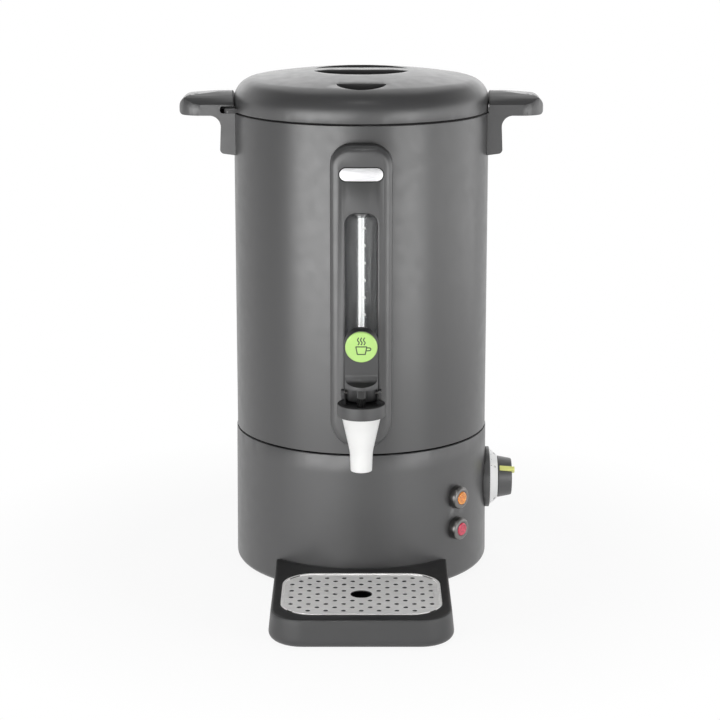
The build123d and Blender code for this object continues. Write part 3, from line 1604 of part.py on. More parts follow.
# Grille: a punched steel plate with a raised rim and one drip hole in the middle
plate_low = tray_height - grille_sink - grille_thickness
drain_spots = []
for row in range(-drain_rows_each_side, drain_rows_each_side + 1):
    along = row * drain_row
    stagger_share = 0 if row % 2 else 1 / 2
    for step in range(-drain_rows_each_side, drain_rows_each_side + 1):
        across = (step + stagger_share) * drain_pitch
        corner_x = max(0, abs(across) - grille_half_width + grille_corner_round)
        corner_y = max(0, abs(along) - grille_half_depth + grille_corner_round)
        from_rim = grille_corner_round - sqrt(corner_x**2 + corner_y**2)
        from_middle = sqrt(across**2 + along**2)
        if from_rim > drain_margin and from_middle > drip_hole_radius + drip_hole_margin:
            drain_spots.append((across, along - grille_centre))
with BuildPart() as drip_grille:
    with BuildSketch(Plane.XY.offset(plate_low)):
        with Locations((0, -grille_centre)):
            RectangleRounded(2 * grille_half_width, 2 * grille_half_depth, grille_corner_round)
            Circle(drip_hole_radius, mode=Mode.SUBTRACT)
        with Locations(*drain_spots):
            Circle(drain_radius, mode=Mode.SUBTRACT)
    extrude(amount=grille_thickness)
    with BuildSketch(Plane.XY.offset(plate_low + grille_thickness)):
        with Locations((0, -grille_centre)):
            RectangleRounded(2 * grille_half_width, 2 * grille_half_depth, grille_corner_round)
            RectangleRounded(
                2 * (grille_half_width - grille_rim_width),
                2 * (grille_half_depth - grille_rim_width),
                grille_corner_round - grille_rim_width,
                mode=Mode.SUBTRACT,
            )
    extrude(amount=grille_rim_height)
finish(drip_grille, "drip_grille")
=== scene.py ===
from math import cos, radians, sin

import bmesh
import bpy
from bpy.props import FloatProperty, FloatVectorProperty, IntProperty, PointerProperty, StringProperty
from mathutils import Matrix, Vector


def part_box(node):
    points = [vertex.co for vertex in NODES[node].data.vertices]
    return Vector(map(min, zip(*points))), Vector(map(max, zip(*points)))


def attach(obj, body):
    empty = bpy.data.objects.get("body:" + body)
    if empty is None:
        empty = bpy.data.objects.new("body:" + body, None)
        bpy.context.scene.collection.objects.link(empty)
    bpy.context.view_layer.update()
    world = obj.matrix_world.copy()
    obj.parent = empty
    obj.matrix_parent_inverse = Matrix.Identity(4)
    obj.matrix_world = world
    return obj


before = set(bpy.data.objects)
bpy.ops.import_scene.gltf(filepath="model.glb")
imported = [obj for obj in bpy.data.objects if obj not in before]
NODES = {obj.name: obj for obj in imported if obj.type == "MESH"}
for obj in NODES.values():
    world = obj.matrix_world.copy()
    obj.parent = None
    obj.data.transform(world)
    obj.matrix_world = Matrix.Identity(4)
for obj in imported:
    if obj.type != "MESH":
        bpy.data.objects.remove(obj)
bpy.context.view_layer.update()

bl_info = {
    "name": "Hot Drink Dispenser",
    "version": (1, 0, 0),
    "blender": (4, 5, 0),
    "location": "3D View > Sidebar > Boiler",
    "description": "Finishes, signs and studio for a hot drink dispenser with a push tap and a drip tray",
    "category": "Object",
}

# Widths of the rounded edges, in metres
FINE_EDGE = 0.0003
SMALL_EDGE = 0.0004
MEDIUM_EDGE = 0.0005
SOFT_EDGE = 0.0006
BROAD_EDGE = 0.0008

# Colours of pieces that a user would leave as they are
BRASS = (0.62, 0.42, 0.16)
CAST_METAL = (0.52, 0.52, 0.53)
SCALE_WHITE = (0.90, 0.90, 0.90)
DIAL_INK = (0.12, 0.12, 0.12)
TUBE_CLEAR = (0.97, 0.98, 0.98)
FLOOR_WHITE = (0.86, 0.86, 0.86, 1)

# Painted shade, as shares of the full colour and gloss: on level upper sides and on the walls of punched holes
TRAY_TOP_PAINTED_SHADE = 0.45
TAP_TOP_PAINTED_SHADE = 0.4
HOLE_WALL_PAINTED_SHADE = 0.08
GRILLE_BORDER = 0.006
TRAY_SHADED_ROUND = 0.004

# Marks on the dial's slope: lengths, line width and distances from the ring's rim, in metres
LONG_DIAL_MARK = 0.0016
SHORT_DIAL_MARK = 0.0010
DIAL_LINE = 0.0004
DIAL_MARK_INSET = 0.0012
DIAL_NUMBER_INSET = 0.0040
DIAL_INNER_RADIUS = 0.0204
NUMBER_THICKNESS = 0.00002

# The floor glows fully white away from the object and keeps a soft shadow close to it
SHADOW_START = 0.22
SHADOW_END = 0.42
SHADOW_GLOW = 0.90

# Soft lamps: name, angle from the front, distance, height, size, power, aim height and aim in front of the axis
LAMPS = (
    ("left_softbox", -35, 1.0, 0.20, (0.92, 0.4), "left_power", 0.23, 0.0),
    ("right_softbox", 41, 1.0, 0.20, (0.56, 0.4), "right_power", 0.23, 0.0),
    ("front_fill", -6, 2.2, 0.35, (1.5, 0.7), "front_power", 0.23, 0.0),
    ("side_fill", 92, 1.2, 0.30, (1.3, 0.6), "side_power", 0.23, 0.0),
    ("overhead_softbox", 180, 0.7, 1.5, (1.4, 1.2), "top_power", 0.23, 0.0),
    ("back_softbox", 180, 1.5, 0.80, (2.4, 0.6), "back_power", 0.45, 0.0),
    ("tray_lamp", 0, 0.9, 1.3, (0.3, 0.2), "tray_power", 0.03, 0.17),
)
LAMP_SPREADS = {"tray_lamp": radians(24)}


class BoilerFinishes(bpy.types.PropertyGroup):
    """Colours and surface qualities that a user would change."""

    shell_colour: FloatVectorProperty(
        name="Shell", description="Coating of the tank", subtype="COLOR", size=3,
        min=0, max=1, default=(0.032, 0.032, 0.033),
    )
    shell_roughness: FloatProperty(
        name="Shell roughness", description="Satin of the tank's coating", subtype="FACTOR",
        min=0, max=1, default=0.34,
    )
    coat_edge: FloatProperty(
        name="Coat edge", description="How far past the tank's inner wall the bare steel reaches", unit="LENGTH",
        min=0, max=0.001, default=0.0003,
    )
    moulding_colour: FloatVectorProperty(
        name="Mouldings", description="Base, lid, grips, front panel and tap", subtype="COLOR", size=3,
        min=0, max=1, default=(0.047, 0.047, 0.048),
    )
    moulding_roughness: FloatProperty(
        name="Moulding roughness", description="Fine grain of the mouldings", subtype="FACTOR",
        min=0, max=1, default=0.37,
    )
    knob_colour: FloatVectorProperty(
        name="Knob", description="Dial knob and small dark mouldings", subtype="COLOR", size=3,
        min=0, max=1, default=(0.058, 0.058, 0.059),
    )
    green_colour: FloatVectorProperty(
        name="Green", description="Push button", subtype="COLOR", size=3,
        min=0, max=1, default=(0.48, 0.77, 0.21),
    )
    pointer_colour: FloatVectorProperty(
        name="Pointer", description="Dial pointer", subtype="COLOR", size=3,
        min=0, max=1, default=(0.90, 0.92, 0.28),
    )
    sign_colour: FloatVectorProperty(
        name="Sign", description="Lines of the cup sign", subtype="COLOR", size=3,
        min=0, max=1, default=(0.02, 0.05, 0.01),
    )
    white_colour: FloatVectorProperty(
        name="White", description="Nozzle, gauge strip and gauge marks", subtype="COLOR", size=3,
        min=0, max=1, default=(0.85, 0.85, 0.84),
    )
    steel_colour: FloatVectorProperty(
        name="Steel", description="Drip grille and bare steel", subtype="COLOR", size=3,
        min=0, max=1, default=(0.88, 0.87, 0.86),
    )
    bright_colour: FloatVectorProperty(
        name="Bright metal", description="Badge plate", subtype="COLOR", size=3,
        min=0, max=1, default=(0.86, 0.86, 0.87),
    )
    dark_metal_colour: FloatVectorProperty(
        name="Dark metal", description="Lamp bezels and lever pin", subtype="COLOR", size=3,
        min=0, max=1, default=(0.20, 0.195, 0.19),
    )
    heating_lens_colour: FloatVectorProperty(
        name="Heating lamp", description="Lens of the upper lamp", subtype="COLOR", size=3,
        min=0, max=1, default=(0.88, 0.28, 0.03),
    )
    power_lens_colour: FloatVectorProperty(
        name="Power lamp", description="Lens of the lower lamp", subtype="COLOR", size=3,
        min=0, max=1, default=(0.60, 0.02, 0.07),
    )
    # Painted shade: the black band on the base below the tank stands for the shadow in the groove between them.
    groove_shade_height: FloatProperty(
        name="Groove", description="Height of the black groove between the base and the tank", unit="LENGTH",
        min=0, max=0.01, default=0.0014,
    )
    # Painted shadow: the black line round the badge plate stands for the shadow in the gap round it.
    badge_shadow_reach: FloatProperty(
        name="Badge outline", description="Width of the black line round the badge plate", unit="LENGTH",
        min=0, max=0.005, default=0.0011,
    )
    # Painted light: the gauge channel's width, lip and lift set where and how much the panel's colour is made
    # paler inside the channel, standing for light on the recessed floor.
    channel_width: FloatProperty(
        name="Channel width", description="Width of the gauge channel", unit="LENGTH",
        min=0, max=0.1, default=0.0282,
    )
    channel_lip: FloatProperty(
        name="Channel lip", description="Depth at which the channel's paler finish starts", unit="LENGTH",
        min=0, max=0.02, default=0.002,
    )
    channel_painted_light: FloatProperty(
        name="Channel shade", description="How much paler the gauge channel is than the panel",
        min=0, max=4, default=2.2,
    )
    tray_colour: FloatVectorProperty(
        name="Tray", description="Drip tray", subtype="COLOR", size=3,
        min=0, max=1, default=(0.054, 0.054, 0.055),
    )
    rubber_colour: FloatVectorProperty(
        name="Rubber", description="Feet, pads and lid seal", subtype="COLOR", size=3,
        min=0, max=1, default=(0.018, 0.018, 0.018),
    )
    seal_colour: FloatVectorProperty(
        name="Seals", description="Gauge seal and tap gasket", subtype="COLOR", size=3,
        min=0, max=1, default=(0.45, 0.45, 0.43),
    )


class BoilerSigns(bpy.types.PropertyGroup):
    """Sizes of the printed marks."""

    cup_size: FloatProperty(
        name="Cup sign", description="Width of the cup on the button", unit="LENGTH",
        min=0.002, max=0.02, default=0.0092,
    )
    line_width: FloatProperty(
        name="Sign line", description="Width of the cup sign's lines", unit="LENGTH",
        min=0.0001, max=0.002, default=0.0010,
    )
    button_lean: FloatProperty(
        name="Button lean", description="Forward lean of the lever and its button", subtype="ANGLE",
        default=radians(8),
    )
    gauge_mark_length: FloatProperty(
        name="Gauge mark length", description="Length of the marks on the gauge tube", unit="LENGTH",
        min=0.0002, max=0.005, default=0.0021,
    )
    gauge_mark_width: FloatProperty(
        name="Gauge mark width", description="Width of the marks on the gauge tube", unit="LENGTH",
        min=0.0002, max=0.005, default=0.0016,
    )
    dial_height: FloatProperty(
        name="Dial height", description="Dial axis above the table", unit="LENGTH", default=0.076,
    )
    dial_start: FloatProperty(
        name="Dial start", description="First mark, counted from the front upwards", subtype="ANGLE",
        default=radians(40),
    )
    dial_turn: FloatProperty(
        name="Dial turn", description="Turn from the first mark to the last one", subtype="ANGLE",
        default=radians(270),
    )
    dial_marks: IntProperty(name="Dial marks", description="Count of marks on the dial", min=2, max=60, default=19)
    dial_labels: StringProperty(
        name="Dial labels", description="Numbers round the dial, from the first mark to the last one",
        default="0 30 45 60 75 90 100",
    )
    digit_height: FloatProperty(
        name="Digit height", description="Height of the numbers on the dial", unit="LENGTH",
        min=0.001, max=0.01, default=0.0034,
    )


class BoilerStage(bpy.types.PropertyGroup):
    """Studio: camera and soft lamps."""

    camera_distance: FloatProperty(
        name="Camera distance", description="Camera in front of the tank's axis", unit="LENGTH", default=1.858,
    )
    camera_height: FloatProperty(
        name="Camera height", description="Camera above the table", unit="LENGTH", default=0.643,
    )
    camera_tilt: FloatProperty(
        name="Camera tilt", description="How far the camera looks down", subtype="ANGLE", default=radians(12.15),
    )
    camera_lens: FloatProperty(
        name="Lens", description="Focal length in millimetres on a 36 mm sensor", min=20, max=300, default=103.0,
    )
    camera_shift_y: FloatProperty(
        name="Lens shift", description="Vertical shift of the frame", min=-0.1, max=0.1, default=-0.08,
    )
    camera_shift_x: FloatProperty(
        name="Sideways shift", description="Horizontal shift of the frame", min=-0.1, max=0.1, default=-0.0018,
    )
    left_power: FloatProperty(
        name="Left softbox", description="Power of the tall softbox on the left", min=0, default=4.6,
    )
    right_power: FloatProperty(
        name="Right softbox", description="Power of the tall softbox on the right", min=0, default=2.2,
    )
    top_power: FloatProperty(
        name="Overhead softbox", description="Power of the softbox above", min=0, default=4.8,
    )
    front_power: FloatProperty(
        name="Front fill", description="Power of the broad fill behind the camera", min=0, default=1.3,
    )
    back_power: FloatProperty(
        name="Back softbox", description="Power of the softbox behind the lid", min=0, default=5.2,
    )
    side_power: FloatProperty(
        name="Side fill", description="Power of the broad fill on the right side", min=0, default=2.8,
    )
    tray_power: FloatProperty(
        name="Tray lamp", description="Power of the narrow lamp over the drip tray", min=0, default=0.09,
    )
    world_strength: FloatProperty(
        name="Room light", description="Even light of the white studio", min=0, default=0.27,
    )


def begin_material(name):
    """Start a node material and return it with its tree and its shader."""
    material = bpy.data.materials.new(name)
    material.use_nodes = True
    tree = material.node_tree
    tree.nodes.clear()
    shader = tree.nodes.new("ShaderNodeBsdfPrincipled")
    output = tree.nodes.new("ShaderNodeOutputMaterial")
    tree.links.new(shader.outputs["BSDF"], output.inputs["Surface"])
    return material, tree, shader


def object_coordinates(tree, stretch=(1, 1, 1)):
    """Coordinates in metres, stretched along the axes."""
    coordinates = tree.nodes.new("ShaderNodeTexCoord")
    mapping = tree.nodes.new("ShaderNodeMapping")
    mapping.inputs["Scale"].default_value = stretch
    tree.links.new(coordinates.outputs["Object"], mapping.inputs["Vector"])
    return mapping.outputs["Vector"]


def noise(tree, vector, per_metre, detail=3.0):
    """Noise value with its features given per metre."""
    texture = tree.nodes.new("ShaderNodeTexNoise")
    texture.inputs["Scale"].default_value = per_metre
    texture.inputs["Detail"].default_value = detail
    tree.links.new(vector, texture.inputs["Vector"])
    return texture.outputs["Fac"]


def vary_colour(tree, shader, value, colour, spread):
    """Drive the base colour between a darker and a lighter shade."""
    ramp = tree.nodes.new("ShaderNodeValToRGB")
    ramp.color_ramp.elements[0].position = 0.3
    ramp.color_ramp.elements[1].position = 0.7
    ramp.color_ramp.elements[0].color = [c * (1 - spread) for c in colour] + [1]
    ramp.color_ramp.elements[1].color = [min(1, c * (1 + spread)) for c in colour] + [1]
    tree.links.new(value, ramp.inputs["Fac"])
    tree.links.new(ramp.outputs["Color"], shader.inputs["Base Color"])


def vary_roughness(tree, shader, value, roughness, spread):
    """Drive the roughness around its middle value."""
    span = tree.nodes.new("ShaderNodeMapRange")
    span.inputs["From Min"].default_value = 0.3
    span.inputs["From Max"].default_value = 0.7
    span.inputs["To Min"].default_value = max(0, roughness - spread)
    span.inputs["To Max"].default_value = min(1, roughness + spread)
    tree.links.new(value, span.inputs["Value"])
    tree.links.new(span.outputs["Result"], shader.inputs["Roughness"])


def raise_grain(tree, shader, value, strength, height):
    """Give the surface a fine relief from a value."""
    bump = tree.nodes.new("ShaderNodeBump")
    bump.inputs["Strength"].default_value = strength
    bump.inputs["Distance"].default_value = height
    tree.links.new(value, bump.inputs["Height"])
    tree.links.new(bump.outputs["Normal"], shader.inputs["Normal"])


def moulded(name, colour, roughness, grain=0.0006, relief=0.12, mottle=0.05, gloss=1.0):
    """Moulded plastic or a powder coat: fine grain, faint mottling and uneven satin."""
    material, tree, shader = begin_material(name)
    vector = object_coordinates(tree)
    vary_colour(tree, shader, noise(tree, vector, 38, 4), colour, mottle)
    vary_roughness(tree, shader, noise(tree, vector, 90, 3), roughness, 0.03)
    raise_grain(tree, shader, noise(tree, vector, 1 / grain, 2), relief, grain * 0.15)
    shader.inputs["Specular IOR Level"].default_value = gloss
    return material


def soften_edges(material, radius):
    """Shade the edges of a finish as if they were rounded."""
    tree = material.node_tree
    bump = next(node for node in tree.nodes if node.type == "BUMP")
    rounded = tree.nodes.new("ShaderNodeBevel")
    rounded.samples = 8
    rounded.inputs["Radius"].default_value = radius
    tree.links.new(rounded.outputs["Normal"], bump.inputs["Normal"])


def vector_steps(tree, vector, steps):
    """Pass a vector through a row of vector operations with fixed operands."""
    for operation, operand in steps:
        step = tree.nodes.new("ShaderNodeVectorMath")
        step.operation = operation
        step.inputs[1].default_value = operand
        tree.links.new(vector, step.inputs[0])
        vector = step.outputs["Vector"]
    return vector


def outside_box(tree, low, high):
    """1 outside a box in the piece's own coordinates, 0 inside it."""
    middle = (low + high) / 2
    past = tree.nodes.new("ShaderNodeSeparateXYZ")
    steps = (("SUBTRACT", middle), ("ABSOLUTE", (0, 0, 0)), ("SUBTRACT", high - middle))
    tree.links.new(vector_steps(tree, object_coordinates(tree), steps), past.inputs["Vector"])
    furthest = past.outputs["X"]
    for axis in ("Y", "Z"):
        larger = tree.nodes.new("ShaderNodeMath")
        larger.operation = "MAXIMUM"
        tree.links.new(furthest, larger.inputs[0])
        tree.links.new(past.outputs[axis], larger.inputs[1])
        furthest = larger.outputs["Value"]
    outside = tree.nodes.new("ShaderNodeMath")
    outside.operation = "GREATER_THAN"
    outside.inputs[1].default_value = 0
    tree.links.new(furthest, outside.inputs[0])
    return outside.outputs["Value"]


def facing_up(tree, signed, start, end, low, high):
    """A value that passes from low to high as the surface turns level, on both sides or only upwards."""
    coordinates = tree.nodes.new("ShaderNodeTexCoord")
    normal = coordinates.outputs["Normal"]
    if not signed:
        normal = vector_steps(tree, normal, (("ABSOLUTE", (0, 0, 0)),))
    axes = tree.nodes.new("ShaderNodeSeparateXYZ")
    tree.links.new(normal, axes.inputs["Vector"])
    level = tree.nodes.new("ShaderNodeMapRange")
    level.inputs["From Min"].default_value = start
    level.inputs["From Max"].default_value = end
    level.inputs["To Min"].default_value = low
    level.inputs["To Max"].default_value = high
    tree.links.new(axes.outputs["Z"], level.inputs["Value"])
    return level.outputs["Result"]


def shade_colour(tree, factor):
    """Multiply the colour of a finish by a value."""
    shader = next(node for node in tree.nodes if node.type == "BSDF_PRINCIPLED")
    shade = tree.nodes.new("ShaderNodeVectorMath")
    shade.operation = "SCALE"
    tree.links.new(shader.inputs["Base Color"].links[0].from_socket, shade.inputs[0])
    tree.links.new(factor, shade.inputs["Scale"])
    tree.links.new(shade.outputs["Vector"], shader.inputs["Base Color"])
    return shader


def shade_finish(tree, factor):
    """Multiply the colour and the gloss of a finish by a value."""
    shader = shade_colour(tree, factor)
    gloss = tree.nodes.new("ShaderNodeMath")
    gloss.operation = "MULTIPLY"
    gloss.inputs[1].default_value = shader.inputs["Specular IOR Level"].default_value
    tree.links.new(factor, gloss.inputs[0])
    tree.links.new(gloss.outputs["Value"], shader.inputs["Specular IOR Level"])


def paint_shade_on_tops(material, share):
    """Paint shade on the level upper sides of a finish: darker colour and less gloss where the surface faces up.
    """
    tree = material.node_tree
    shade_finish(tree, facing_up(tree, True, 0.55, 0.9, 1.0, share))


def paint_light_inside(material, low, high, lift):
    """Paint light: give a finish a paler colour inside a box."""
    tree = material.node_tree
    shade = tree.nodes.new("ShaderNodeMapRange")
    shade.inputs["To Min"].default_value = lift
    shade.inputs["To Max"].default_value = 1.0
    tree.links.new(outside_box(tree, low, high), shade.inputs["Value"])
    shade_colour(tree, shade.outputs["Result"])


def paint_shade_above(material, height):
    """Turn a finish matt black above a height, as in a groove that no light reaches."""
    tree = material.node_tree
    axes = tree.nodes.new("ShaderNodeSeparateXYZ")
    tree.links.new(object_coordinates(tree), axes.inputs["Vector"])
    below = tree.nodes.new("ShaderNodeMath")
    below.operation = "LESS_THAN"
    below.inputs[1].default_value = height
    tree.links.new(axes.outputs["Z"], below.inputs[0])
    shade_finish(tree, below.outputs["Value"])


def paint_shadow_round(material, low, high, reach):
    """Paint shadow: turn a finish matt black in the gap round a plate with round ends, fading out a little past
    it.
    """
    tree = material.node_tree
    end_radius = (high.z - low.z) / 2
    straight = (high.x - low.x) / 2 - end_radius
    offset = vector_steps(
        tree,
        object_coordinates(tree),
        (
            ("SUBTRACT", (low + high) / 2),
            ("MULTIPLY", (1, 0, 1)),
            ("ABSOLUTE", (0, 0, 0)),
            ("SUBTRACT", (straight, 0, 0)),
            ("MAXIMUM", (0, 0, 0)),
        ),
    )
    away = tree.nodes.new("ShaderNodeVectorMath")
    away.operation = "LENGTH"
    tree.links.new(offset, away.inputs[0])
    clear = tree.nodes.new("ShaderNodeMapRange")
    clear.inputs["From Min"].default_value = end_radius + reach / 2
    clear.inputs["From Max"].default_value = end_radius + reach
    tree.links.new(away.outputs["Value"], clear.inputs["Value"])
    shade_finish(tree, clear.outputs["Result"])


def bare_inside(material, radius, colour):
    """Leave bare metal inside a radius round the upright axis of a coated shell."""
    tree = material.node_tree
    shader = next(node for node in tree.nodes if node.type == "BSDF_PRINCIPLED")
    away = tree.nodes.new("ShaderNodeVectorMath")
    away.operation = "LENGTH"
    tree.links.new(vector_steps(tree, object_coordinates(tree), (("MULTIPLY", (1, 1, 0)),)), away.inputs[0])
    bare = tree.nodes.new("ShaderNodeMath")
    bare.operation = "LESS_THAN"
    bare.inputs[1].default_value = radius
    tree.links.new(away.outputs["Value"], bare.inputs[0])
    blend = tree.nodes.new("ShaderNodeMixRGB")
    blend.inputs["Color2"].default_value = list(colour) + [1]
    tree.links.new(bare.outputs["Value"], blend.inputs["Fac"])
    tree.links.new(shader.inputs["Base Color"].links[0].from_socket, blend.inputs["Color1"])
    tree.links.new(blend.outputs["Color"], shader.inputs["Base Color"])
    tree.links.new(bare.outputs["Value"], shader.inputs["Metallic"])


def paint_shade_in_holes(material, low, high, border, share):
    """Paint shade on the walls of the holes in a level plate, and not on its border: darker colour and less gloss
    where the walls stand upright.
    """
    tree = material.node_tree
    inset = Vector((border, border, 0))
    factor = tree.nodes.new("ShaderNodeMath")
    factor.operation = "MAXIMUM"
    tree.links.new(facing_up(tree, False, 0.5, 0.95, share, 1.0), factor.inputs[0])
    tree.links.new(outside_box(tree, low + inset, high - inset), factor.inputs[1])
    shade_finish(tree, factor.outputs["Value"])


def brushed(name, colour, roughness, along=(60, 2600, 2600), metallic=1.0):
    """Brushed or rolled metal with fine lines along one axis."""
    material, tree, shader = begin_material(name)
    lines = noise(tree, object_coordinates(tree, along), 1, 3)
    vary_colour(tree, shader, lines, colour, 0.10)
    vary_roughness(tree, shader, lines, roughness, 0.08)
    raise_grain(tree, shader, lines, 0.10, 0.00006)
    shader.inputs["Metallic"].default_value = metallic
    return material


def polished(name, colour, roughness):
    """Plated metal with faint handling marks."""
    material, tree, shader = begin_material(name)
    vector = object_coordinates(tree)
    vary_colour(tree, shader, noise(tree, vector, 160, 3), colour, 0.04)
    vary_roughness(tree, shader, noise(tree, vector, 420, 4), roughness, 0.05)
    shader.inputs["Metallic"].default_value = 1.0
    return material


def lamp_lens(name, colour):
    """Tinted lens with small facets on its back."""
    material, tree, shader = begin_material(name)
    vector = object_coordinates(tree)
    facets = tree.nodes.new("ShaderNodeTexVoronoi")
    facets.inputs["Scale"].default_value = 620
    tree.links.new(vector, facets.inputs["Vector"])
    vary_colour(tree, shader, facets.outputs["Distance"], colour, 0.22)
    vary_roughness(tree, shader, noise(tree, vector, 500, 2), 0.22, 0.05)
    raise_grain(tree, shader, facets.outputs["Distance"], 0.25, 0.0004)
    shader.inputs["Subsurface Weight"].default_value = 0.35
    shader.inputs["Subsurface Radius"].default_value = (0.004, 0.002, 0.001)
    shader.inputs["Subsurface Scale"].default_value = 1.0
    shader.inputs["Coat Weight"].default_value = 0.8
    shader.inputs["Coat Roughness"].default_value = 0.05
    return material


def clear_tube(name):
    """Clear, thin gauge tube with faint drawing lines."""
    material, tree, shader = begin_material(name)
    lines = noise(tree, object_coordinates(tree, (900, 900, 8)), 1, 2)
    vary_colour(tree, shader, lines, TUBE_CLEAR, 0.01)
    vary_roughness(tree, shader, lines, 0.03, 0.015)
    shader.inputs["Transmission Weight"].default_value = 1.0
    shader.inputs["IOR"].default_value = 1.01
    shader.inputs["Coat Weight"].default_value = 0.8
    shader.inputs["Coat Roughness"].default_value = 0.04
    return material


def dress(node, material, edge=0.0):
    """Give a CAD piece its finish and, where asked, softly rounded edges."""
    piece = NODES[node]
    piece.data.materials.clear()
    piece.data.materials.append(material)
    if edge:
        weld = piece.modifiers.new("join_faces", "WELD")
        weld.merge_threshold = 0.00001
        rounding = piece.modifiers.new("round_edges", "BEVEL")
        rounding.width = edge
        rounding.segments = 2
        rounding.limit_method = "ANGLE"
        rounding.angle_limit = radians(40)
        rounding.harden_normals = True
    return piece


def new_piece(name, mesh, body, material):
    """Add a mesh as a piece of the object that rides on a body."""
    mesh.name = name
    mesh.materials.clear()
    mesh.materials.append(material)
    piece = bpy.data.objects.new(name, mesh)
    bpy.context.scene.collection.objects.link(piece)
    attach(piece, body)
    return piece


def curve_mesh(curve):
    """Mesh of a curve or text that is used only as a drawing aid."""
    holder = bpy.data.objects.new("drawing_aid", curve)
    bpy.context.scene.collection.objects.link(holder)
    bpy.context.view_layer.update()
    shown = holder.evaluated_get(bpy.context.evaluated_depsgraph_get())
    mesh = bpy.data.meshes.new_from_object(shown)
    bpy.data.objects.remove(holder)
    bpy.data.curves.remove(curve)
    return mesh


def drawn_lines(strokes, width, flatness=0.12):
    """Flat rounded lines through points in the XY plane, as one mesh."""
    curve = bpy.data.curves.new("lines", "CURVE")
    curve.dimensions = "3D"
    curve.bevel_depth = width / 2
    curve.bevel_resolution = 2
    curve.use_fill_caps = True
    for points in strokes:
        spline = curve.splines.new("NURBS")
        spline.points.add(len(points) - 1)
        for target, (x, y) in zip(spline.points, points):
            target.co = (x, y, 0, 1)
        spline.order_u = 3
        spline.use_endpoint_u = True
        spline.resolution_u = 6
    mesh = curve_mesh(curve)
    mesh.transform(Matrix.Diagonal((1, 1, flatness, 1)))
    return mesh


def join_meshes(name, meshes):
    """One mesh from several placed meshes."""
    joined = bmesh.new()
    for mesh in meshes:
        joined.from_mesh(mesh)
        bpy.data.meshes.remove(mesh)
    result = bpy.data.meshes.new(name)
    joined.to_mesh(result)
    joined.free()
    return result


def plane_matrix(origin, across, outward):
    """Placement whose X runs across and whose Z points out of the surface."""
    z_axis = Vector(outward).normalized()
    x_axis = Vector(across).normalized()
    y_axis = z_axis.cross(x_axis)
    turn = Matrix((x_axis, y_axis, z_axis)).transposed().to_4x4()
    return Matrix.Translation(origin) @ turn


def surface_point(node, start, direction):
    """Where a straight line first meets a CAD piece."""
    hit, place, _, _ = NODES[node].ray_cast(Vector(start), Vector(direction).normalized())
    if not hit:
        raise RuntimeError(f"no surface of {node} on the line from {tuple(start)}")
    return place


class BOILER_OT_shell(bpy.types.Operator):
    """Coat the tank and give the base, lid, grips and front panel their moulded grain"""

    bl_idname = "boiler.shell"
    bl_label = "Shell"

    def execute(self, context):
        looks = context.scene.boiler_finishes
        coat = moulded(
            "satin_coat", looks.shell_colour, looks.shell_roughness, grain=0.0005, relief=0.06, mottle=0.03,
        )
        bare_inside(coat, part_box("tank_floor")[1].x + looks.coat_edge, looks.steel_colour)
        dress("tank", coat)
        dress("tank_rim", coat)
        grain = moulded("grained_moulding", looks.moulding_colour, looks.moulding_roughness)
        dress("lid_cover", grain, SOFT_EDGE)
        panel_grain = moulded("panel_moulding", looks.moulding_colour, looks.moulding_roughness)
        # Painted shadow in the gap round the badge plate.
        paint_shadow_round(panel_grain, *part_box("badge_plate"), looks.badge_shadow_reach)
        # Painted light: the panel's colour is made paler in the gauge channel behind the tube's front, as if the
        # recess caught more light.
        channel_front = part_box("gauge_tube")[0].y + looks.channel_lip
        room = Vector((looks.channel_width / 2, 0, 0))
        channel_low = Vector((0, channel_front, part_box("front_panel")[0].z)) - room
        channel_high = Vector((0, 0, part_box("gauge_cap")[1].z)) + room
        paint_light_inside(panel_grain, channel_low, channel_high, looks.channel_painted_light)
        dress("front_panel", panel_grain, SMALL_EDGE)
        base_coat = moulded("base_moulding", looks.moulding_colour, looks.moulding_roughness)
        # Painted shade in the groove between the base and the tank.
        paint_shade_above(base_coat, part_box("tank")[0].z - looks.groove_shade_height)
        dress("base_housing", base_coat, SMALL_EDGE)
        for node in ("handle_left", "handle_right"):
            dress(node, grain, SMALL_EDGE)
        return {"FINISHED"}


class BOILER_OT_gauge(bpy.types.Operator):
    """Finish the sight gauge and the bare badge plate"""

    bl_idname = "boiler.gauge"
    bl_label = "Gauge and Badge"

    def execute(self, context):
        looks = context.scene.boiler_finishes
        dress("gauge_tube", clear_tube("gauge_glass"))
        dress("gauge_scale", moulded("gauge_white", looks.white_colour, 0.45, mottle=0.02))
        dress("gauge_cap", moulded("gauge_cap_black", looks.knob_colour, 0.5))
        dress("gauge_seal", moulded("gauge_seal_grey", looks.seal_colour, 0.7))
        silver = brushed("badge_silver", looks.bright_colour, 0.42, metallic=0.5)
        dress("badge_plate", silver, FINE_EDGE)
        return {"FINISHED"}


class BOILER_OT_gauge_marks(bpy.types.Operator):
    """Print a white mark on the gauge tube in front of each mark of the strip"""

    bl_idname = "boiler.gauge_marks"
    bl_label = "Gauge Marks"

    def execute(self, context):
        looks = context.scene.boiler_finishes
        signs = context.scene.boiler_signs
        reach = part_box("gauge_scale")[1].x
        corners = NODES["gauge_scale"].data.vertices
        ends = sorted({round(v.co.z, 5) for v in corners if v.co.x > reach - 0.0001})
        tube_low, tube_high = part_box("gauge_tube")
        axis_y = (tube_low.y + tube_high.y) / 2
        marks = []
        for low, high in zip(ends[::2], ends[1::2]):
            height = (low + high) / 2
            before = Vector((reach - signs.gauge_mark_length / 3, tube_low.y - 0.01, height))
            spot = surface_point("gauge_tube", before, (0, 1, 0))
            outward = Vector((spot.x, spot.y - axis_y, 0))
            half = signs.gauge_mark_length / 2
            mesh = drawn_lines([[(-half, 0), (0, 0), (half, 0)]], signs.gauge_mark_width)
            mesh.transform(plane_matrix(spot, Vector((0, 0, 1)).cross(outward), outward))
            marks.append(mesh)
        ink = moulded("gauge_ink", looks.white_colour, 0.5, relief=0.02, mottle=0.01)
        new_piece("gauge_marks", join_meshes("gauge_marks", marks), "housing", ink)
        return {"FINISHED"}


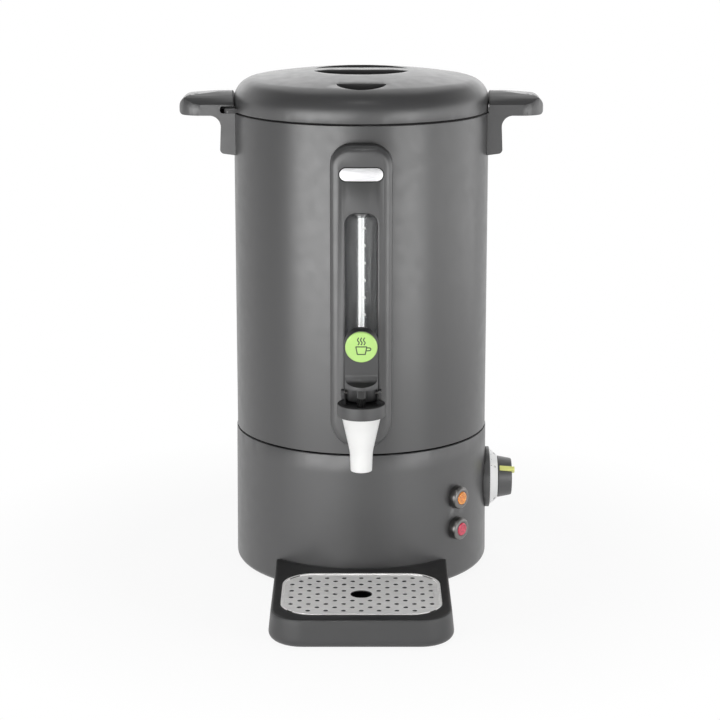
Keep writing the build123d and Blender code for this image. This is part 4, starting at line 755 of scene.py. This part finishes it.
class BOILER_OT_tap(bpy.types.Operator):
    """Finish the push tap from its body to its nozzle"""

    bl_idname = "boiler.tap"
    bl_label = "Tap"

    def execute(self, context):
        looks = context.scene.boiler_finishes
        tap_moulding = moulded(
            "tap_moulding", looks.moulding_colour, 0.46, grain=0.0004, relief=0.08, gloss=0.75,
        )
        # Painted shade: the tap's upward-facing surfaces, such as the lever's toe and the collar's floor, are
        # darkened as if in shade.
        paint_shade_on_tops(tap_moulding, TAP_TOP_PAINTED_SHADE)
        dress("tap_body", tap_moulding)
        dress("tap_collar", tap_moulding, MEDIUM_EDGE)
        dress("tap_lever", tap_moulding, BROAD_EDGE)
        nozzle = moulded("nozzle_white", looks.white_colour, 0.34, relief=0.04, mottle=0.015)
        dress("tap_nozzle", nozzle, SMALL_EDGE)
        dress("lever_button", moulded("button_green", looks.green_colour, 0.24, relief=0.03, mottle=0.03))
        dress("lever_pin", brushed("pin_steel", looks.dark_metal_colour, 0.30))
        dress("valve_stem", moulded("stem_black", looks.rubber_colour, 0.06, relief=0.01, gloss=0.6))
        dress("valve_plug", moulded("plug_rubber", looks.rubber_colour, 0.8))
        dress("valve_spring", brushed("spring_steel", looks.steel_colour, 0.25))
        dress("tap_gasket", moulded("gasket_grey", looks.seal_colour, 0.75))
        dress("tap_nut", brushed("nut_brass", BRASS, 0.32))
        return {"FINISHED"}


class BOILER_OT_cup_sign(bpy.types.Operator):
    """Print a plain steaming cup on the green button"""

    bl_idname = "boiler.cup_sign"
    bl_label = "Cup Sign"

    def execute(self, context):
        looks = context.scene.boiler_finishes
        signs = context.scene.boiler_signs
        half = signs.cup_size / 2
        foot = half * 0.72
        top = half * 0.15
        bottom = -half * 1.35
        corner = half * 0.02
        cup = [
            [(-half, top - corner), (-half, top), (0, top), (half, top), (half, top - corner)],
            [(-half, top), (-foot - corner, bottom + corner), (-foot, bottom), (-foot + corner, bottom)],
            [(half, top), (foot + corner, bottom + corner), (foot, bottom), (foot - corner, bottom)],
            [(-foot, bottom), (0, bottom), (foot, bottom)],
            [
                (half * 0.97, top - half * 0.25),
                (half * 1.75, top - half * 0.1),
                (half * 1.75, top - half * 0.85),
                (half * 0.86, top - half * 0.75),
            ],
        ]
        for place in (-0.55, 0.0, 0.55):
            centre = place * half
            start = top + half * 0.35
            cup.append(
                [
                    (centre - half * 0.08, start),
                    (centre + half * 0.32, start + half * 0.45),
                    (centre - half * 0.32, start + half * 0.95),
                    (centre + half * 0.10, start + half * 1.45),
                ]
            )
        mesh = drawn_lines(cup, signs.line_width)
        low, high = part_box("lever_button")
        centre = (low + high) / 2
        outward = Vector((0, -cos(signs.button_lean), -sin(signs.button_lean)))
        face = surface_point("lever_button", centre + outward * 0.02, -outward)
        mesh.transform(plane_matrix(face, (1, 0, 0), outward))
        ink = moulded("sign_ink", looks.sign_colour, 0.5, relief=0.02)
        new_piece("cup_sign", mesh, "lever", ink)
        return {"FINISHED"}


class BOILER_OT_dial(bpy.types.Operator):
    """Finish the dial, its knob and its pointer"""

    bl_idname = "boiler.dial"
    bl_label = "Dial"

    def execute(self, context):
        looks = context.scene.boiler_finishes
        knob_black = moulded("knob_black", looks.knob_colour, 0.42, grain=0.0004, relief=0.08)
        dress("knob", knob_black, SMALL_EDGE)
        dress("knob_bezel", moulded("bezel_moulding", looks.moulding_colour, 0.45), BROAD_EDGE)
        pointer_green = moulded("pointer_green", looks.pointer_colour, 0.32, relief=0.03)
        dress("knob_pointer", pointer_green, MEDIUM_EDGE)
        scale_white = moulded("scale_white", SCALE_WHITE, 0.35, relief=0.03, mottle=0.015)
        dress("scale_ring", scale_white, FINE_EDGE)
        dress("thermostat_body", moulded("thermostat_black", looks.knob_colour, 0.5))
        steel = brushed("dial_steel", looks.steel_colour, 0.3)
        dress("thermostat_nut", steel)
        dress("thermostat_shaft", steel)
        return {"FINISHED"}


class BOILER_OT_dial_marks(bpy.types.Operator):
    """Print the marks and numbers round the dial's sloped ring"""

    bl_idname = "boiler.dial_marks"
    bl_label = "Dial Marks"

    def place(self, angle, height, radius):
        """Placement on the ring's slope at an angle, with Y towards the rim."""
        around = Vector((0, -cos(angle), sin(angle)))
        outside = Vector((0, 0, height)) + around * radius + Vector((0.2, 0, 0))
        spot = surface_point("scale_ring", outside, (-1, 0, 0))
        outward = Vector((self.rise, 0, 0)) + around * self.run
        across = around.cross(Vector((1, 0, 0)))
        return plane_matrix(spot, across, outward)

    def execute(self, context):
        signs = context.scene.boiler_signs
        low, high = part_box("scale_ring")
        rim = (high.z - low.z) / 2
        slope_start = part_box("knob_bezel")[1].x
        self.run = high.x - slope_start
        self.rise = rim - DIAL_INNER_RADIUS
        ink = moulded("dial_ink", DIAL_INK, 0.6, relief=0.02)
        marks = []
        last = signs.dial_marks - 1
        for index in range(signs.dial_marks):
            angle = signs.dial_start + signs.dial_turn * index / last
            long_mark = index % 3 == 0
            length = LONG_DIAL_MARK if long_mark else SHORT_DIAL_MARK
            mesh = drawn_lines([[(0, -length / 2), (0, 0), (0, length / 2)]], DIAL_LINE)
            mesh.transform(self.place(angle, signs.dial_height, rim - DIAL_MARK_INSET))
            marks.append(mesh)
        labels = signs.dial_labels.split()
        for index, label in enumerate(labels):
            angle = signs.dial_start + signs.dial_turn * index / (len(labels) - 1)
            text = bpy.data.curves.new("number", "FONT")
            text.body = label
            text.size = signs.digit_height
            text.align_x = "CENTER"
            text.align_y = "CENTER"
            text.extrude = NUMBER_THICKNESS
            mesh = curve_mesh(text)
            mesh.transform(self.place(angle, signs.dial_height, rim - DIAL_NUMBER_INSET))
            marks.append(mesh)
        new_piece("dial_marks", join_meshes("dial_marks", marks), "housing", ink)
        return {"FINISHED"}


class BOILER_OT_lamps(bpy.types.Operator):
    """Finish the two signal lamps"""

    bl_idname = "boiler.lamps"
    bl_label = "Lamps"

    def execute(self, context):
        looks = context.scene.boiler_finishes
        dress("lamp_bezels", polished("lamp_bezel_metal", looks.dark_metal_colour, 0.34), SMALL_EDGE)
        dress("lamp_lens_heating", lamp_lens("heating_lens", looks.heating_lens_colour))
        dress("lamp_lens_power", lamp_lens("power_lens", looks.power_lens_colour))
        dress("lamp_bodies", moulded("lamp_body_black", looks.knob_colour, 0.5))
        return {"FINISHED"}


class BOILER_OT_tray(bpy.types.Operator):
    """Finish the drip tray and its punched grille"""

    bl_idname = "boiler.tray"
    bl_label = "Drip Tray"

    def execute(self, context):
        looks = context.scene.boiler_finishes
        tray_grain = moulded("tray_moulding", looks.tray_colour, 0.42, grain=0.0007, gloss=0.5)
        soften_edges(tray_grain, TRAY_SHADED_ROUND)
        # Painted shade: the tray deck and other upward-facing surfaces are darkened as if in shade.
        paint_shade_on_tops(tray_grain, TRAY_TOP_PAINTED_SHADE)
        dress("drip_tray", tray_grain, SOFT_EDGE)
        steel = brushed("grille_steel", looks.steel_colour, 0.50, (40, 1800, 1800), 0.25)
        # Painted shade on the walls of the grille's punched holes.
        paint_shade_in_holes(steel, *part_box("drip_grille"), GRILLE_BORDER, HOLE_WALL_PAINTED_SHADE)
        dress("drip_grille", steel, FINE_EDGE)
        dress("tray_feet", moulded("tray_pad_rubber", looks.rubber_colour, 0.85))
        return {"FINISHED"}


class BOILER_OT_inside(bpy.types.Operator):
    """Finish the pieces inside and underneath"""

    bl_idname = "boiler.inside"
    bl_label = "Inside and Underneath"

    def execute(self, context):
        looks = context.scene.boiler_finishes
        steel = brushed("inner_steel", looks.steel_colour, 0.32, (1500, 1500, 40))
        for node in ("lid_liner", "tank_floor", "base_plate"):
            dress(node, steel)
        fastener = brushed("fastener_steel", looks.steel_colour, 0.35, (900, 900, 900))
        for node in ("lid_screws", "handle_screws", "base_screws", "tank_nuts", "heating_element"):
            dress(node, fastener)
        dress("heating_plate", moulded("cast_plate", CAST_METAL, 0.55, grain=0.0012, relief=0.3))
        dress("thermal_cutout", moulded("cutout_black", looks.knob_colour, 0.5))
        dress("terminal_block", moulded("terminal_white", looks.white_colour, 0.5))
        dress("cord_gland", moulded("gland_black", looks.knob_colour, 0.55), FINE_EDGE)
        dress("base_feet", moulded("foot_rubber", looks.rubber_colour, 0.85))
        dress("lid_seal", moulded("lid_seal_rubber", looks.rubber_colour, 0.8))
        return {"FINISHED"}


class BOILER_OT_stage(bpy.types.Operator):
    """Set up the pale floor, the soft lamps and the camera"""

    bl_idname = "boiler.stage"
    bl_label = "Stage"

    def larger(self, tree, one, other):
        """The larger of two values."""
        larger = tree.nodes.new("ShaderNodeMath")
        larger.operation = "MAXIMUM"
        tree.links.new(one, larger.inputs[0])
        tree.links.new(other, larger.inputs[1])
        return larger.outputs["Value"]

    def product(self, tree, one, other):
        """The product of two values."""
        product = tree.nodes.new("ShaderNodeMath")
        product.operation = "MULTIPLY"
        tree.links.new(one, product.inputs[0])
        tree.links.new(other, product.inputs[1])
        return product.outputs["Value"]

    def fade(self, tree, value, start, end, low, high):
        """A value that passes from low to high between start and end."""
        span = tree.nodes.new("ShaderNodeMapRange")
        span.inputs["From Min"].default_value = start
        span.inputs["From Max"].default_value = end
        span.inputs["To Min"].default_value = low
        span.inputs["To Max"].default_value = high
        tree.links.new(value, span.inputs["Value"])
        return span.outputs["Result"]

    def floor_material(self):
        """Pale floor that shows near white and still takes a soft shadow."""
        material = bpy.data.materials.new("pale_floor")
        material.use_nodes = True
        tree = material.node_tree
        tree.nodes.clear()
        matte = tree.nodes.new("ShaderNodeBsdfDiffuse")
        matte.inputs["Color"].default_value = FLOOR_WHITE
        glow = tree.nodes.new("ShaderNodeEmission")
        glow.inputs["Color"].default_value = (1, 1, 1, 1)
        place = tree.nodes.new("ShaderNodeTexCoord")
        away = tree.nodes.new("ShaderNodeVectorMath")
        away.operation = "LENGTH"
        tree.links.new(place.outputs["Object"], away.inputs[0])
        path = tree.nodes.new("ShaderNodeLightPath")
        mirrored = self.larger(tree, path.outputs["Is Glossy Ray"], path.outputs["Is Transmission Ray"])
        seen = self.larger(tree, path.outputs["Is Camera Ray"], mirrored)
        glowing = self.fade(tree, away.outputs["Value"], SHADOW_START, SHADOW_END, SHADOW_GLOW, 1.0)
        share = self.product(tree, seen, glowing)
        mix = tree.nodes.new("ShaderNodeMixShader")
        tree.links.new(share, mix.inputs["Fac"])
        tree.links.new(matte.outputs["BSDF"], mix.inputs[1])
        tree.links.new(glow.outputs["Emission"], mix.inputs[2])
        output = tree.nodes.new("ShaderNodeOutputMaterial")
        tree.links.new(mix.outputs["Shader"], output.inputs["Surface"])
        return material

    def room(self, strength):
        """White surroundings, with a white backdrop that metal and glass show too."""
        world = bpy.data.worlds.new("white_room")
        world.use_nodes = True
        tree = world.node_tree
        tree.nodes.clear()
        sky = tree.nodes.new("ShaderNodeBackground")
        sky.inputs["Color"].default_value = (1, 1, 1, 1)
        direction = tree.nodes.new("ShaderNodeTexCoord")
        axes = tree.nodes.new("ShaderNodeSeparateXYZ")
        tree.links.new(direction.outputs["Generated"], axes.inputs["Vector"])
        behind = self.fade(tree, axes.outputs["Y"], 0.10, 0.50, 0.0, 1.0)
        below = self.fade(tree, axes.outputs["Z"], 0.35, 0.75, 1.0, 0.0)
        path = tree.nodes.new("ShaderNodeLightPath")
        mirrored = self.larger(tree, path.outputs["Is Glossy Ray"], path.outputs["Is Transmission Ray"])
        backdrop = self.product(tree, mirrored, self.product(tree, behind, below))
        seen = self.larger(tree, path.outputs["Is Camera Ray"], backdrop)
        tree.links.new(self.fade(tree, seen, 0.0, 1.0, strength, 1.0), sky.inputs["Strength"])
        output = tree.nodes.new("ShaderNodeOutputWorld")
        tree.links.new(sky.outputs["Background"], output.inputs["Surface"])
        bpy.context.scene.world = world

    def softbox(self, name, azimuth, distance, height, size, power, aim_height, aim_forward):
        """Area lamp at an angle from the front, positive to the right, aimed at the object."""
        lamp = bpy.data.lights.new(name, "AREA")
        lamp.shape = "RECTANGLE"
        lamp.size, lamp.size_y = size
        lamp.energy = power
        lamp.spread = LAMP_SPREADS.get(name, lamp.spread)
        holder = bpy.data.objects.new(name, lamp)
        bpy.context.scene.collection.objects.link(holder)
        holder.location = (distance * sin(azimuth), -distance * cos(azimuth), height)
        aim = Vector((0, -aim_forward, aim_height)) - holder.location
        holder.rotation_euler = aim.to_track_quat("-Z", "Y").to_euler()
        holder.visible_camera = False

    def execute(self, context):
        studio = context.scene.boiler_stage
        mesh = bpy.data.meshes.new("floor")
        reach = 12.0
        corners = [(-reach, -reach, 0), (reach, -reach, 0), (reach, reach, 0), (-reach, reach, 0)]
        mesh.from_pydata(corners, [], [(0, 1, 2, 3)])
        mesh.materials.append(self.floor_material())
        floor = bpy.data.objects.new("floor", mesh)
        context.scene.collection.objects.link(floor)
        self.room(studio.world_strength)
        for name, angle, distance, height, size, power, aim_height, aim_forward in LAMPS:
            watts = getattr(studio, power)
            self.softbox(name, radians(angle), distance, height, size, watts, aim_height, aim_forward)
        camera = bpy.data.cameras.new("camera")
        camera.lens = studio.camera_lens
        camera.sensor_width = 36.0
        camera.shift_x = studio.camera_shift_x
        camera.shift_y = studio.camera_shift_y
        holder = bpy.data.objects.new("camera", camera)
        context.scene.collection.objects.link(holder)
        holder.location = (0, -studio.camera_distance, studio.camera_height)
        holder.rotation_euler = (radians(90) - studio.camera_tilt, 0, 0)
        context.scene.camera = holder
        context.scene.view_settings.view_transform = "Standard"
        return {"FINISHED"}


class BOILER_PT_panel(bpy.types.Panel):
    """Sidebar panel with every step of the dispenser"""

    bl_idname = "BOILER_PT_panel"
    bl_label = "Hot Drink Dispenser"
    bl_space_type = "VIEW_3D"
    bl_region_type = "UI"
    bl_category = "Boiler"

    def draw(self, context):
        for operator in OPERATORS:
            self.layout.operator(operator.bl_idname)
        for group in (context.scene.boiler_finishes, context.scene.boiler_signs, context.scene.boiler_stage):
            box = self.layout.box()
            for name in group.__annotations__:
                box.prop(group, name)


OPERATORS = (
    BOILER_OT_shell,
    BOILER_OT_gauge,
    BOILER_OT_gauge_marks,
    BOILER_OT_tap,
    BOILER_OT_cup_sign,
    BOILER_OT_dial,
    BOILER_OT_dial_marks,
    BOILER_OT_lamps,
    BOILER_OT_tray,
    BOILER_OT_inside,
    BOILER_OT_stage,
)
CLASSES = (BoilerFinishes, BoilerSigns, BoilerStage) + OPERATORS + (BOILER_PT_panel,)


def register():
    for cls in CLASSES:
        bpy.utils.register_class(cls)
    bpy.types.Scene.boiler_finishes = PointerProperty(type=BoilerFinishes)
    bpy.types.Scene.boiler_signs = PointerProperty(type=BoilerSigns)
    bpy.types.Scene.boiler_stage = PointerProperty(type=BoilerStage)


def unregister():
    del bpy.types.Scene.boiler_stage
    del bpy.types.Scene.boiler_signs
    del bpy.types.Scene.boiler_finishes
    for cls in reversed(CLASSES):
        bpy.utils.unregister_class(cls)


def main():
    register()
    bpy.ops.boiler.shell()
    bpy.ops.boiler.gauge()
    bpy.ops.boiler.gauge_marks()
    bpy.ops.boiler.tap()
    bpy.ops.boiler.cup_sign()
    bpy.ops.boiler.dial()
    bpy.ops.boiler.dial_marks()
    bpy.ops.boiler.lamps()
    bpy.ops.boiler.tray()
    bpy.ops.boiler.inside()
    bpy.ops.boiler.stage()


if __name__ == "__main__":
    main()
